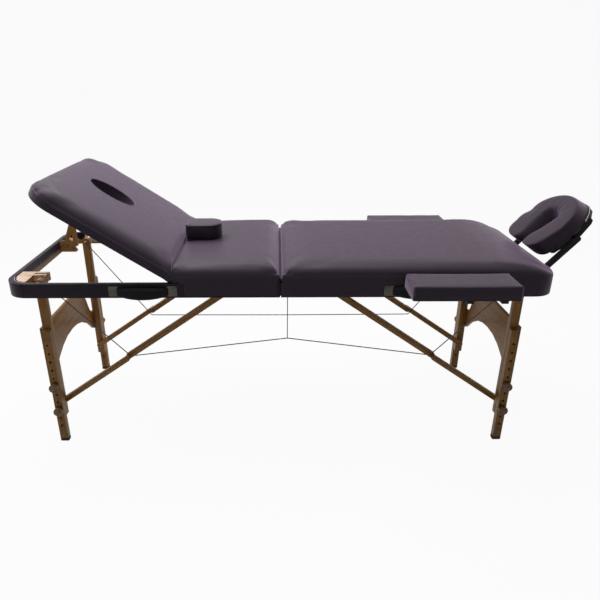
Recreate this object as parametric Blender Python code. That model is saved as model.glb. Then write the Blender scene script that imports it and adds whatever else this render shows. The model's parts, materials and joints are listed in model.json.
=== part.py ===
# Portable folding massage table, three padded sections on wooden legs.
# Metres, +Z up, +X towards the face cradle, the photo's camera stands on the -Y side.
# Everything is built from the fold line at x = 0 and moved to the box centre at the end.
import math

import bmesh
import bpy
from mathutils import Matrix, Vector

for old in list(bpy.data.objects):
    bpy.data.objects.remove(old, do_unlink=True)

# Driving dimensions
HALF_LENGTH = 0.930
WIDTH = 0.640
RAIL_BOTTOM = 0.612
RAIL_HEIGHT = 0.050
RAIL_THICK = 0.016
CORNER_R = 0.075
PANEL_THICK = 0.006
CUSHION_THICK = 0.0545
FOLD_GAP = 0.0015
FOLD_DROP = 0.003
LEAF_THICK = 0.0013
TIE_X = 0.026
TIE_LOW = 0.392
BACK_HINGE_X = 0.365
BACK_TILT = 33.0
BACK_LENGTH = HALF_LENGTH - BACK_HINGE_X - 0.015
RECLINE_DROP = 0.010
BACK_SEAM = 0.0090
LEG_FROM_END = 0.100
LEG_PIVOT_UP = 0.028
LEG_WIDE = 0.030
LEG_DEEP = 0.022
LEG_OVERLAP_END = 0.105
LOWER_LEG_TOP = 0.468
HOLE_TOP = 0.413
HOLE_PITCH = 0.034
HOLE_COUNT = 11
KNOB_HOLES = (5, 8)
KNOB_R = 0.017
KNOB_DEEP = 0.0175
FOOT_HIGH = 0.014
BRACE_LEG_Z = 0.150
BRACE_TOP_X = 0.120
LOWER_BRACE_DEEP = 0.018
UPPER_BRACE_DEEP = 0.020
PIN_R = 0.005
RUN_GAP = 0.0003
LAP_GAP = 0.0005
PEG_UP = 0.025
EAR_THICK = 0.0020
EAR_GAP = 0.0006
EAR_PIN_R = 0.0040

# Derived planes
LEG_X = HALF_LENGTH - LEG_FROM_END
LEG_PIVOT_Z = RAIL_BOTTOM + LEG_PIVOT_UP
PEG_Z = RAIL_BOTTOM + PEG_UP
RAIL_TOP = RAIL_BOTTOM + RAIL_HEIGHT
RECLINE_Z = RAIL_TOP - RECLINE_DROP
PANEL_LOW = RAIL_TOP + RUN_GAP
PANEL_TOP = PANEL_LOW + PANEL_THICK
CUSHION_LOW = PANEL_TOP + RUN_GAP
CUSHION_TOP = CUSHION_LOW + CUSHION_THICK
HALF_W = WIDTH / 2
RAIL_IN = HALF_W - RAIL_THICK
LEG_OUT = RAIL_IN - KNOB_DEEP - 0.0035
LEG_LAP = LEG_OUT - LEG_DEEP
UPPER_OUT = LEG_LAP - LAP_GAP
UPPER_IN = UPPER_OUT - LEG_DEEP
LOWER_BRACE_OUT = UPPER_IN - LAP_GAP
LOWER_BRACE_IN = LOWER_BRACE_OUT - LOWER_BRACE_DEEP
UPPER_BRACE_OUT = LOWER_BRACE_IN - LAP_GAP
UPPER_BRACE_IN = UPPER_BRACE_OUT - UPPER_BRACE_DEEP
LUG_OUT = UPPER_BRACE_IN - LAP_GAP
LUG_IN = LUG_OUT - 0.006
CABLE_Y = LUG_IN - 0.006
BLOCK_ARM_OUT = UPPER_IN - 0.0175
BLOCK_ARM_IN = BLOCK_ARM_OUT - 0.037
PIVOT_END = UPPER_IN - 0.004

# Leg brace linkage: straight when open, doubled flat when folded
BRACE_RUN = LEG_X - BRACE_TOP_X
BRACE_DROP = LEG_PIVOT_Z - BRACE_LEG_Z
BRACE_TOTAL = math.hypot(BRACE_RUN, BRACE_DROP)
BRACE_EXTRA = LEG_X - BRACE_DROP - BRACE_TOP_X
UPPER_BRACE = (BRACE_TOTAL + BRACE_EXTRA) / 2
LOWER_BRACE = (BRACE_TOTAL - BRACE_EXTRA) / 2
BRACE_ANGLE = math.atan2(BRACE_DROP, BRACE_RUN)
ELBOW = (BRACE_TOP_X + UPPER_BRACE * math.cos(BRACE_ANGLE),
         LEG_PIVOT_Z - UPPER_BRACE * math.sin(BRACE_ANGLE))

# Backrest prop
PROP_Y = (0.150, 0.168)
PROP_FOOT_Y = (0.150, 0.194)
SEAT_Y = (0.172, 0.198)
PROP_REACH = BACK_LENGTH - 0.030
PROP_BELOW = 0.029
PROP_FOOT = (-HALF_LENGTH + 0.068, RAIL_TOP - 0.010)
SEAT_SLOPE = math.radians(56.0)
SEAT_TOP = (-HALF_LENGTH + 0.051, RAIL_TOP - 0.001)

# Face cradle
CRADLE_PIVOT = (HALF_LENGTH + 0.019, PEG_Z)
CRADLE_TILT = math.radians(42.0)
CRADLE_ROD = (HALF_LENGTH + 0.126, PEG_Z + 0.122)
CRADLE_PLATE_LOW = 0.0160
CRADLE_PAD_HIGH = 0.0545
PAD_CENTRE = -0.010
PAD_REACH = 0.0775
PAD_RADIUS = 0.092
PAD_LOW = -0.098
PAD_BEND = 2.0

# Armrests
ARM_X = (HALF_LENGTH - 0.5265, HALF_LENGTH - 0.1885)
ARM_PEG_X = (HALF_LENGTH - 0.326, HALF_LENGTH - 0.215)
ARM_Y = (HALF_W + 0.027, HALF_W + 0.152)
ARM_BOARD_Z = (PEG_Z + 0.025, PEG_Z + 0.037)
ARM_PAD_HIGH = 0.034

# Carrying handles
HANDLE_X = (0.362, 0.557)
HANDLE_PLATE = 0.034
HANDLE_Z = RAIL_BOTTOM + 0.024


def new_object(name, bm):
    bmesh.ops.remove_doubles(bm, verts=bm.verts, dist=1e-6)
    bmesh.ops.recalc_face_normals(bm, faces=bm.faces)
    mesh = bpy.data.meshes.new(name)
    bm.to_mesh(mesh)
    bm.free()
    obj = bpy.data.objects.new(name, mesh)
    bpy.context.scene.collection.objects.link(obj)
    return obj


def prism(name, outline, low, high, axis):
    # Outline is given in the two axes other than the extrusion axis, in x, y, z order.
    bm = bmesh.new()
    rings = []
    for level in (low, high):
        ring = []
        for u, v in outline:
            if axis == "x":
                ring.append(bm.verts.new((level, u, v)))
            elif axis == "y":
                ring.append(bm.verts.new((u, level, v)))
            else:
                ring.append(bm.verts.new((u, v, level)))
        rings.append(ring)
    n = len(outline)
    bm.faces.new(rings[0])
    bm.faces.new(rings[1])
    for i in range(n):
        j = (i + 1) % n
        bm.faces.new((rings[0][i], rings[0][j], rings[1][j], rings[1][i]))
    return new_object(name, bm)


def box(name, x0, x1, y0, y1, z0, z1):
    return prism(name, [(x0, y0), (x1, y0), (x1, y1), (x0, y1)], z0, z1, "z")


def circle(cu, cv, r, n=20, turn=0.0):
    points = []
    for i in range(n):
        a = 2 * math.pi * i / n + turn
        points.append((cu + r * math.cos(a), cv + r * math.sin(a)))
    return points


def rod(name, axis, cu, cv, r, low, high, n=20):
    return prism(name, circle(cu, cv, r, n), low, high, axis)


def boolean(base, others, kind):
    for other in others:
        mod = base.modifiers.new("b", "BOOLEAN")
        mod.operation = kind
        mod.solver = "EXACT"
        mod.object = other
        bpy.context.view_layer.update()
        graph = bpy.context.evaluated_depsgraph_get()
        mesh = bpy.data.meshes.new_from_object(base.evaluated_get(graph))
        base.modifiers.clear()
        base.data = mesh
        bpy.data.objects.remove(other, do_unlink=True)
    return base


def join(name, pieces):
    base = boolean(pieces[0], pieces[1:], "UNION")
    base.name = name
    base.data.name = name
    return base


def cut(base, cutters):
    return boolean(base, cutters, "DIFFERENCE")


def arc(cx, cy, r, start, end, steps):
    points = []
    for i in range(steps + 1):
        a = math.radians(start + (end - start) * i / steps)
        points.append((cx + r * math.cos(a), cy + r * math.sin(a)))
    return points


def round_rect(x0, x1, y0, y1, radii, steps=5):
    # Corner radii in the order low-low, high-low, high-high, low-high.
    a, b, c, d = radii
    points = arc(x0 + a, y0 + a, a, 180, 270, steps)
    points += arc(x1 - b, y0 + b, b, 270, 360, steps)
    points += arc(x1 - c, y1 - c, c, 0, 90, steps)
    points += arc(x0 + d, y1 - d, d, 90, 180, steps)
    return points


def loft(name, rings):
    bm = bmesh.new()
    made = []
    for ring in rings:
        made.append([bm.verts.new(p) for p in ring])
    n = len(made[0])
    bm.faces.new(made[0])
    bm.faces.new(made[-1])
    for low, high in zip(made, made[1:]):
        for i in range(n):
            j = (i + 1) % n
            bm.faces.new((low[i], low[j], high[j], high[i]))
    return new_object(name, bm)


def mirror_x(points, side):
    return [(side * u, v) for u, v in points]


def turn_mesh(obj, degrees, px, pz):
    # Turns about the Y direction through (px, pz), right-hand rule.
    move = Matrix.Translation(Vector((px, 0, pz)))
    spin = Matrix.Rotation(math.radians(degrees), 4, "Y")
    obj.data.transform(move @ spin @ move.inverted())
    return obj


# Frame rails

def side_rail(name, side, sign):
    inner = side * FOLD_GAP
    outer = side * (HALF_LENGTH - CORNER_R - RUN_GAP)
    y_out = sign * HALF_W
    y_in = sign * RAIL_IN
    rail = box("rail", min(inner, outer), max(inner, outer), min(y_out, y_in), max(y_out, y_in),
               RAIL_BOTTOM, RAIL_TOP)
    x = side * LEG_X
    lows = sorted((sign * PIVOT_END, sign * (RAIL_IN + 0.004)))
    pin = rod("pin", "y", x, LEG_PIVOT_Z, PIN_R, lows[0], lows[1])
    lows = sorted((sign * (UPPER_OUT + RUN_GAP), sign * (RAIL_IN + 0.004)))
    collar = rod("collar", "y", x, LEG_PIVOT_Z, 0.010, lows[0], lows[1])
    lows = sorted((sign * (RAIL_IN - 0.002), sign * (RAIL_IN + 0.004)))
    near, far = sorted((side * (LEG_X - 0.034), side * (LEG_X + 0.022)))
    plate = prism("plate", round_rect(near, far, LEG_PIVOT_Z - 0.020, LEG_PIVOT_Z + 0.018, (0.006,) * 4, 3),
                  lows[0], lows[1], "y")
    pieces = [rail, plate, collar, pin]
    if side < 0:
        lows = sorted((sign * (RAIL_IN - EAR_GAP - EAR_THICK - 0.0002), sign * (RAIL_IN + 0.003)))
        pieces.append(rod("pintle", "y", -BACK_HINGE_X, RECLINE_Z, EAR_PIN_R, lows[0], lows[1]))
    rail = join(name, pieces)
    if side > 0:
        low, high = sorted((y_in, y_out))
        holes = [rod("h", "y", px, PEG_Z, 0.0083, low - 0.002, high + 0.002) for px in ARM_PEG_X]
        cut(rail, holes)
    return rail


def end_rail(name, side):
    x_end = HALF_LENGTH
    x_cut = HALF_LENGTH - CORNER_R
    inner_r = CORNER_R - RAIL_THICK
    outline = [(x_cut, -RAIL_IN), (x_cut, -HALF_W)]
    outline += arc(x_cut, -HALF_W + CORNER_R, CORNER_R, -90, 0, 10)[1:]
    outline += arc(x_cut, HALF_W - CORNER_R, CORNER_R, 0, 90, 10)
    outline += [(x_cut, RAIL_IN)]
    outline += arc(x_cut, HALF_W - CORNER_R, inner_r, 90, 0, 8)[1:]
    outline += arc(x_cut, -HALF_W + CORNER_R, inner_r, 0, -90, 8)[:-1]
    rail = prism("rail", mirror_x(outline, side), RAIL_BOTTOM, RAIL_TOP, "z")
    if side > 0:
        holes = [rod("h", "x", py, PEG_Z, 0.0093, x_end - 0.025, x_end + 0.005) for py in (-0.105, 0.105)]
        cut(rail, holes)
        rail.name = name
        return rail
    pieces = [rail]
    # Corner block at the front, with an arm along the leg's pivot.
    bend = arc(x_cut, HALF_W - CORNER_R, 0.062, 0, 84, 8)
    block = [(x_end - 0.010, BLOCK_ARM_IN)] + bend + [(bend[-1][0], BLOCK_ARM_OUT)]
    block += [(x_end - 0.112, BLOCK_ARM_OUT), (x_end - 0.112, BLOCK_ARM_IN)]
    shape = [(side * px, -py) for px, py in block]
    gusset = prism("gusset", shape, RAIL_BOTTOM + 0.016, RAIL_TOP - 0.004, "z")
    middle = (BLOCK_ARM_IN + BLOCK_ARM_OUT) / 2
    x0, x1 = sorted((side * (x_end - 0.066), side * (x_end - 0.120)))
    slot = box("slot", x0, x1, -middle - 0.005, -middle + 0.005, 0.0, 1.0)
    cut(gusset, [slot])
    pieces.append(gusset)
    dx = math.cos(SEAT_SLOPE) * 0.052
    dz = math.sin(SEAT_SLOPE) * 0.052
    wedge = [(-x_end + 0.006, RAIL_BOTTOM + 0.004), (SEAT_TOP[0] + dx, RAIL_BOTTOM + 0.004),
             (SEAT_TOP[0] + dx, SEAT_TOP[1] - dz), SEAT_TOP, (-x_end + 0.006, SEAT_TOP[1])]
    pieces.append(prism("wedge", wedge, SEAT_Y[0], SEAT_Y[1], "y"))
    return join(name, pieces)


def hinge_rail(name, side):
    x0 = FOLD_GAP
    x1 = FOLD_GAP + RAIL_THICK
    edge = RAIL_IN - RUN_GAP
    low, high = sorted((side * x0, side * x1))
    pieces = [box("rail", low, high, -edge, edge, RAIL_BOTTOM, RAIL_TOP)]
    low, high = sorted((side * 0.0026, side * 0.0300))
    leaf_low, leaf_high = RAIL_BOTTOM - LEAF_THICK, RAIL_BOTTOM + 0.002
    pieces.append(box("leaf", low, high, -edge + 0.010, edge - 0.010, leaf_low, leaf_high))
    for sign in (-1, 1):
        y0, y1 = sorted((sign * LUG_IN, sign * LUG_OUT))
        nose = arc(BRACE_TOP_X, LEG_PIVOT_Z, 0.014, -90, 90, 8)
        lug = [(x0 + 0.006, LEG_PIVOT_Z - 0.014)] + nose + [(x0 + 0.006, LEG_PIVOT_Z + 0.014)]
        pieces.append(prism("lug", mirror_x(lug, side), y0, y1, "y"))
        y0, y1 = sorted((sign * (LUG_IN + 0.002), sign * (UPPER_BRACE_OUT + 0.003)))
        pieces.append(rod("pin", "y", side * BRACE_TOP_X, LEG_PIVOT_Z, PIN_R, y0, y1))
    return join(name, pieces)


def hinge_pin():
    edge = RAIL_IN - 0.012
    return rod("hinge_pin", "y", 0.0, RAIL_BOTTOM - FOLD_DROP, 0.0028, -edge, edge, 16)


# Panels and cushions

def panel(name, x0, x1, radii, inset=0.004):
    edge = HALF_W - inset
    return prism(name, round_rect(x0, x1, -edge, edge, radii), PANEL_LOW, PANEL_TOP, "z")


def cushion(name, x0, x1, radii, seam_low=0.0, tuck=0.0):
    # Rings from the tucked bottom edge, out over the drawn-in side, to the crowned top.
    t = CUSHION_THICK
    profile = [(0.006 + tuck, 0.0), (0.0015 + tuck / 2, 0.006), (0.0, 0.018), (0.0005, 0.032),
               (0.004, 0.043), (0.011, 0.0505), (0.022, 0.0525), (0.070, t - 0.0008), (0.150, t)]
    rings = []
    for inset, high in profile:
        shrunk = [max(r - inset, 0.004) for r in radii]
        lean = seam_low * high
        points = round_rect(x0 + inset, x1 - inset - lean, -HALF_W + inset, HALF_W - inset, shrunk)
        rings.append([(px, py, CUSHION_LOW + high) for px, py in points])
    return loft(name, rings)


HOLE_CENTRE = (-BACK_HINGE_X - 0.345, 0.0)


def hole_ring(length, width, n=32):
    points = []
    for i in range(n):
        a = 2 * math.pi * i / n
        points.append((HOLE_CENTRE[0] + length / 2 * math.cos(a), HOLE_CENTRE[1] + width / 2 * math.sin(a)))
    return points


def panel_ear(hx, hz, r, y0, y1):
    outline = [(hx - r, PANEL_LOW + 0.002), (hx - r, hz)] + arc(hx, hz, r, 180, 360, 8)[1:-1]
    outline += [(hx + r, hz), (hx + r, PANEL_LOW + 0.002)]
    return prism("ear", outline, y0, y1, "y")


def back_section():
    end = -BACK_HINGE_X - BACK_LENGTH
    seam = -BACK_HINGE_X - BACK_SEAM
    plate = panel("back_panel", end + 0.012, seam - 0.001, (0.083, 0.004, 0.004, 0.083), 0.012)
    cut(plate, [prism("h", hole_ring(0.190, 0.112), PANEL_LOW - 0.01, PANEL_TOP + 0.01, "z")])
    hx = -BACK_HINGE_X - PROP_REACH
    hz = RAIL_TOP - PROP_BELOW
    pieces = [plate, panel_ear(hx, hz, 0.012, PROP_Y[0] - 0.012, PROP_Y[0] - LAP_GAP)]
    pieces.append(rod("pin", "y", hx, hz, 0.004, PROP_Y[0] - 0.006, PROP_Y[1] + 0.003))
    for sign in (-1, 1):
        y0, y1 = sorted((sign * (RAIL_IN - EAR_GAP), sign * (RAIL_IN - EAR_GAP - EAR_THICK)))
        tab = arc(-BACK_HINGE_X, RECLINE_Z, 0.0085, 180, 360, 10)
        tab += [(-BACK_HINGE_X + 0.0045, PANEL_LOW - 0.0012), (seam - 0.006, PANEL_LOW + 0.003)]
        tab += [(seam - 0.030, PANEL_LOW + 0.003), (seam - 0.030, PANEL_LOW - 0.006)]
        ear = prism("ear", tab, y0, y1, "y")
        cut(ear, [rod("h", "y", -BACK_HINGE_X, RECLINE_Z, EAR_PIN_R + RUN_GAP, y0 - 0.01, y1 + 0.01)])
        pieces.append(ear)
    plate = join("back_panel", pieces)
    turn_mesh(plate, BACK_TILT, -BACK_HINGE_X, RECLINE_Z)
    lean = math.tan(math.radians(BACK_TILT))
    pad = cushion("back_cushion", end, -BACK_HINGE_X - BACK_SEAM, (0.095, 0.012, 0.012, 0.095), lean, 0.008)
    cut(pad, [prism("h", hole_ring(0.180, 0.100), CUSHION_LOW - 0.01, CUSHION_TOP + 0.01, "z")])
    turn_mesh(pad, BACK_TILT, -BACK_HINGE_X, RECLINE_Z)


def back_prop():
    tilt = math.radians(BACK_TILT)
    below = PROP_BELOW - RECLINE_DROP
    hx = -BACK_HINGE_X - PROP_REACH * math.cos(tilt) - below * math.sin(tilt)
    hz = RECLINE_Z + PROP_REACH * math.sin(tilt) - below * math.cos(tilt)
    dx = PROP_FOOT[0] - hx
    dz = PROP_FOOT[1] - hz
    length = math.hypot(dx, dz)
    along = (dx / length, dz / length)
    across = (along[1], -along[0])

    def place(p, q):
        return (hx + along[0] * p + across[0] * q, hz + along[1] * p + across[1] * q)

    outline = [place(p, q) for p, q in arc(0, 0, 0.012, 90, 270, 8)]
    for p, q in ((length - 0.082, -0.012), (length, -0.028), (length, 0.028), (length - 0.082, 0.012)):
        outline.append(place(p, q))
    prop = prism("back_prop", outline, PROP_Y[0], PROP_Y[1], "y")
    corners = ((length - 0.052, 0.0), (length - 0.018, -0.012), (length - 0.018, 0.012))
    window = [place(p, q) for p, q in corners]
    bar_end = [place(p, q) for p, q in ((length - 0.016, -0.021), (length + 0.004, -0.021),
                                        (length + 0.004, 0.021), (length - 0.016, 0.021))]
    gap = 0.0004
    run = math.cos(SEAT_SLOPE) * 0.080
    drop = math.sin(SEAT_SLOPE) * 0.080
    top = (SEAT_TOP[0] + gap * math.sin(SEAT_SLOPE), SEAT_TOP[1] + gap * math.cos(SEAT_SLOPE))
    bevel = [(top[0] - 0.080, top[1]), top, (top[0] + run, top[1] - drop), (top[0] - 0.080, top[1] - drop)]
    prop = join("back_prop", [prop, prism("bar", bar_end, PROP_FOOT_Y[0] + 0.002, PROP_FOOT_Y[1], "y")])
    cut(prop, [prism("b", bevel, PROP_Y[0] - 0.01, PROP_FOOT_Y[1] + 0.01, "y"),
               prism("w", window, PROP_Y[0] - 0.01, PROP_Y[1] + 0.01, "y"),
               rod("h", "y", hx, hz, 0.004 + RUN_GAP, PROP_Y[0] - 0.01, PROP_Y[1] + 0.01)])
    return (hx, hz)


# Legs

def hole_heights():
    return [HOLE_TOP - HOLE_PITCH * i for i in range(HOLE_COUNT)]


def upper_leg(name, side, sign):
    x = side * LEG_X
    y0, y1 = sorted((sign * UPPER_IN, sign * UPPER_OUT))
    half = LEG_WIDE / 2
    outline = [(x - half, LEG_OVERLAP_END), (x + half, LEG_OVERLAP_END)]
    outline += arc(x, LEG_PIVOT_Z, half, 0, 180, 10)
    leg = prism("leg", outline, y0, y1, "y")
    cut(leg, [rod("h", "y", x, LEG_PIVOT_Z, PIN_R + RUN_GAP, y0 - 0.01, y1 + 0.01)])
    p0, p1 = sorted((sign * (UPPER_IN + 0.004), sign * (LOWER_BRACE_IN - 0.0004 + 0.0006)))
    pin = rod("pin", "y", x, BRACE_LEG_Z, PIN_R, p0, p1)
    return join(name, [leg, pin])


def lower_leg(name, side, sign):
    x = side * LEG_X
    y0, y1 = sorted((sign * LEG_LAP, sign * LEG_OUT))
    half = LEG_WIDE / 2
    low = FOOT_HIGH + RUN_GAP
    outline = [(x - half, low), (x + half, low), (x + half, LOWER_LEG_TOP - 0.004),
               (x + half - 0.004, LOWER_LEG_TOP), (x - half + 0.004, LOWER_LEG_TOP),
               (x - half, LOWER_LEG_TOP - 0.004)]
    leg = prism(name, outline, y0, y1, "y")
    cut(leg, [rod("h", "y", x, z, 0.0046, y0 - 0.01, y1 + 0.01, 12) for z in hole_heights()])
    return leg


def foot(name, side, sign):
    x = side * LEG_X
    y = sign * (LEG_LAP + LEG_OUT) / 2
    hx = LEG_WIDE / 2 + 0.0015
    hy = LEG_DEEP / 2 + 0.0002
    rings = []
    for z, grow in ((0.0, -0.002), (0.003, 0.0), (FOOT_HIGH, 0.0)):
        points = round_rect(x - hx - grow, x + hx + grow, y - hy - grow, y + hy + grow, (0.004,) * 4, 3)
        rings.append([(px, py, z) for px, py in points])
    return loft(name, rings)


def knob(name, side, sign, z):
    x = side * LEG_X
    y0, y1 = sorted((sign * (LEG_OUT + RUN_GAP), sign * (LEG_OUT + 0.006)))
    boss = rod("boss", "y", x, z, 0.009, y0, y1, 16)
    y0, y1 = sorted((sign * (LEG_OUT + 0.005), sign * (LEG_OUT + KNOB_DEEP)))
    rim = []
    for i in range(40):
        a = 2 * math.pi * i / 40
        r = KNOB_R - 0.0012 * (0.5 - 0.5 * math.cos(10 * a))
        rim.append((x + r * math.cos(a), z + r * math.sin(a)))
    disc = prism("disc", rim, y0, y1, "y")
    y0, y1 = sorted((sign * (LEG_LAP + 0.0002), sign * (LEG_OUT + 0.010)))
    bolt = rod("bolt", "y", x, z, 0.0040, y0, y1, 12)
    return join(name, [disc, boss, bolt])


def arch_panel(name, side):
    span = UPPER_OUT
    shape = [(0.0, 0.470), (0.70, 0.470), (0.76, 0.460), (0.80, 0.440), (0.84, 0.410), (0.875, 0.370),
             (0.905, 0.335), (0.94, 0.316), (1.0, 0.310), (1.0, 0.222), (0.945, 0.234), (0.85, 0.280),
             (0.71, 0.322), (0.60, 0.339), (0.5, 0.345), (0.385, 0.342), (0.28, 0.327), (0.185, 0.302),
             (0.10, 0.264), (0.04, 0.244), (0.0, 0.236)]
    outline = [(-span + 2 * span * u, z) for u, z in shape]
    face = LEG_X + LEG_WIDE / 2 + RUN_GAP
    low, high = sorted((side * face, side * (face + 0.012)))
    return prism(name, outline, low, high, "x")


def bar(name, p, q, half_p, half_q, y0, y1):
    # Flat bar with round ends between two points in the XZ plane.
    angle = math.degrees(math.atan2(q[1] - p[1], q[0] - p[0]))
    outline = arc(p[0], p[1], half_p, angle + 90, angle + 270, 8)
    outline += arc(q[0], q[1], half_q, angle - 90, angle + 90, 8)
    return prism(name, outline, y0, y1, "y")


def upper_brace(name, side, sign):
    top = (side * BRACE_TOP_X, LEG_PIVOT_Z)
    elbow = (side * ELBOW[0], ELBOW[1])
    y0, y1 = sorted((sign * UPPER_BRACE_IN, sign * UPPER_BRACE_OUT))
    piece = bar("bar", top, elbow, 0.0105, 0.0105, y0, y1)
    cut(piece, [rod("h", "y", top[0], top[1], PIN_R + RUN_GAP, y0 - 0.01, y1 + 0.01)])
    y0, y1 = sorted((sign * (UPPER_BRACE_IN - 0.004), sign * (UPPER_BRACE_IN + 0.004)))
    head = rod("head", "y", elbow[0], elbow[1], 0.007, y0, y1, 16)
    return join(name, [piece, head])


def lower_brace(name, side, sign):
    elbow = (side * ELBOW[0], ELBOW[1])
    end = (side * LEG_X, BRACE_LEG_Z)
    y0, y1 = sorted((sign * LOWER_BRACE_IN, sign * LOWER_BRACE_OUT))
    piece = bar("bar", elbow, end, 0.0090, 0.0100, y0, y1)
    cut(piece, [rod("h", "y", end[0], end[1], PIN_R + RUN_GAP, y0 - 0.01, y1 + 0.01)])
    y0, y1 = sorted((sign * (LOWER_BRACE_OUT + 0.0003), sign * (LOWER_BRACE_OUT - 0.004)))
    head = rod("head", "y", elbow[0], elbow[1], 0.007, y0, y1, 16)
    return join(name, [piece, head])


def cable(name, sign):
    # One cable for each side: leg pivot, elbow, tie, elbow, leg pivot, with the vertical tie.
    r = 0.0016
    y = sign * CABLE_Y
    y_end = sign * (PIVOT_END - 0.0020)
    low = ELBOW[1] - 0.014
    path = [(-LEG_X, y_end, LEG_PIVOT_Z), (-ELBOW[0], y, low), (TIE_X, y, TIE_LOW), (ELBOW[0], y, low),
            (LEG_X, y_end, LEG_PIVOT_Z)]
    bm = bmesh.new()
    rings = []
    for i, place in enumerate(path):
        a = Vector(path[max(i - 1, 0)])
        b = Vector(path[min(i + 1, len(path) - 1)])
        d = (b - a).normalized()
        n = Vector((-d.z, 0, d.x)).normalized()
        m = d.cross(n)
        ring = []
        for k in range(6):
            t = 2 * math.pi * k / 6
            ring.append(bm.verts.new(Vector(place) + n * (r * math.cos(t)) + m * (r * math.sin(t))))
        rings.append(ring)
    for low_ring, high_ring in zip(rings, rings[1:]):
        for k in range(6):
            m = (k + 1) % 6
            bm.faces.new((low_ring[k], low_ring[m], high_ring[m], high_ring[k]))
    bm.faces.new(rings[0])
    bm.faces.new(rings[-1])
    run = new_object("run", bm)
    tie = rod("tie", "z", TIE_X, y, 0.0013, TIE_LOW - 0.0005, RAIL_BOTTOM - LEAF_THICK - RUN_GAP, 6)
    return join(name, [run, tie])


# Fittings

def handle(name, side):
    # Padded strap that bows out and sags a little between its two plates.
    y = -HALF_W
    half = HANDLE_PLATE / 2
    plates = []
    for cx in HANDLE_X:
        outline = round_rect(side * cx - half, side * cx + half, HANDLE_Z - 0.018, HANDLE_Z + 0.018,
                             (0.004,) * 4, 2)
        plates.append(prism("plate", outline, y - 0.0045, y - RUN_GAP, "y"))
    steps = 12
    rings = []
    for i in range(steps + 1):
        f = i / steps
        x = side * (HANDLE_X[0] - 0.010 + (HANDLE_X[1] - HANDLE_X[0] + 0.020) * f)
        rise = math.sin(math.pi * f) ** 0.6 if 0 < f < 1 else 0.0
        out = y - 0.003 - 0.012 * rise
        thick = 0.006 + 0.004 * rise
        middle = HANDLE_Z - 0.003 * rise
        tall = 0.015 + 0.009 * rise
        soft = 0.003
        ring = [(x, out, middle - tall), (x, out, middle + tall)]
        ring += [(x, out - thick + soft, middle + tall), (x, out - thick, middle + tall - 2 * soft)]
        ring += [(x, out - thick, middle - tall + 2 * soft), (x, out - thick + soft, middle - tall)]
        rings.append(ring)
    return join(name, [loft("strap", rings)] + plates)


def slope_point(along, normal, y):
    # Point on the cradle plate frame: along the slope from the rod, and along its normal.
    c = math.cos(CRADLE_TILT)
    s = math.sin(CRADLE_TILT)
    return (CRADLE_ROD[0] + along * c - normal * s, y, CRADLE_ROD[1] + along * s + normal * c)


def cradle_base():
    x0, x1 = HALF_LENGTH + RUN_GAP, HALF_LENGTH + 0.030
    pieces = [box("block", x0, x1, -0.132, 0.132, PEG_Z - 0.017, PEG_Z + 0.017)]
    for y in (-0.105, 0.105):
        pieces.append(rod("peg", "x", y, PEG_Z, 0.009, HALF_LENGTH - 0.070, HALF_LENGTH + 0.010))
    for sign in (-1, 1):
        y0, y1 = sorted((sign * 0.120, sign * 0.1475))
        pieces.append(rod("pin", "y", CRADLE_PIVOT[0], CRADLE_PIVOT[1], PIN_R, y0, y1))
    return join("cradle_base", pieces)


def cradle_arms():
    pieces = []
    for sign in (-1, 1):
        y0, y1 = sorted((sign * 0.1335, sign * 0.1455))
        arm = bar("arm", CRADLE_PIVOT, CRADLE_ROD, 0.010, 0.010, y0, y1)
        cut(arm, [rod("h", "y", CRADLE_PIVOT[0], CRADLE_PIVOT[1], PIN_R + RUN_GAP, y0 - 0.01, y1 + 0.01)])
        pieces.append(arm)
    pieces.append(rod("rod", "y", CRADLE_ROD[0], CRADLE_ROD[1], 0.006, -0.140, 0.140))
    return join("cradle_arms", pieces)


def ring_path(low, centre, reach, radius, bend, steps):
    # Horseshoe centre line in slope coordinates, open towards the table, its ends drawn together.
    leg = []
    for i in range(5):
        u = low + (centre - low) * i / 4
        leg.append((u, radius - bend * (u - centre) ** 2))
    points = [(u, -v) for u, v in leg]
    for i in range(1, steps):
        a = -math.pi / 2 + math.pi * i / steps
        points.append((centre + reach * math.cos(a), radius * math.sin(a)))
    return points + list(reversed(leg))


def pad_half_width(u):
    # Half width of the cradle pad: widest at the tips, narrowest at the crown.
    if u < PAD_CENTRE:
        return 0.045 + 0.06 * (PAD_CENTRE - u)
    return 0.045 - 0.0125 * (u - PAD_CENTRE) / PAD_REACH


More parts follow.
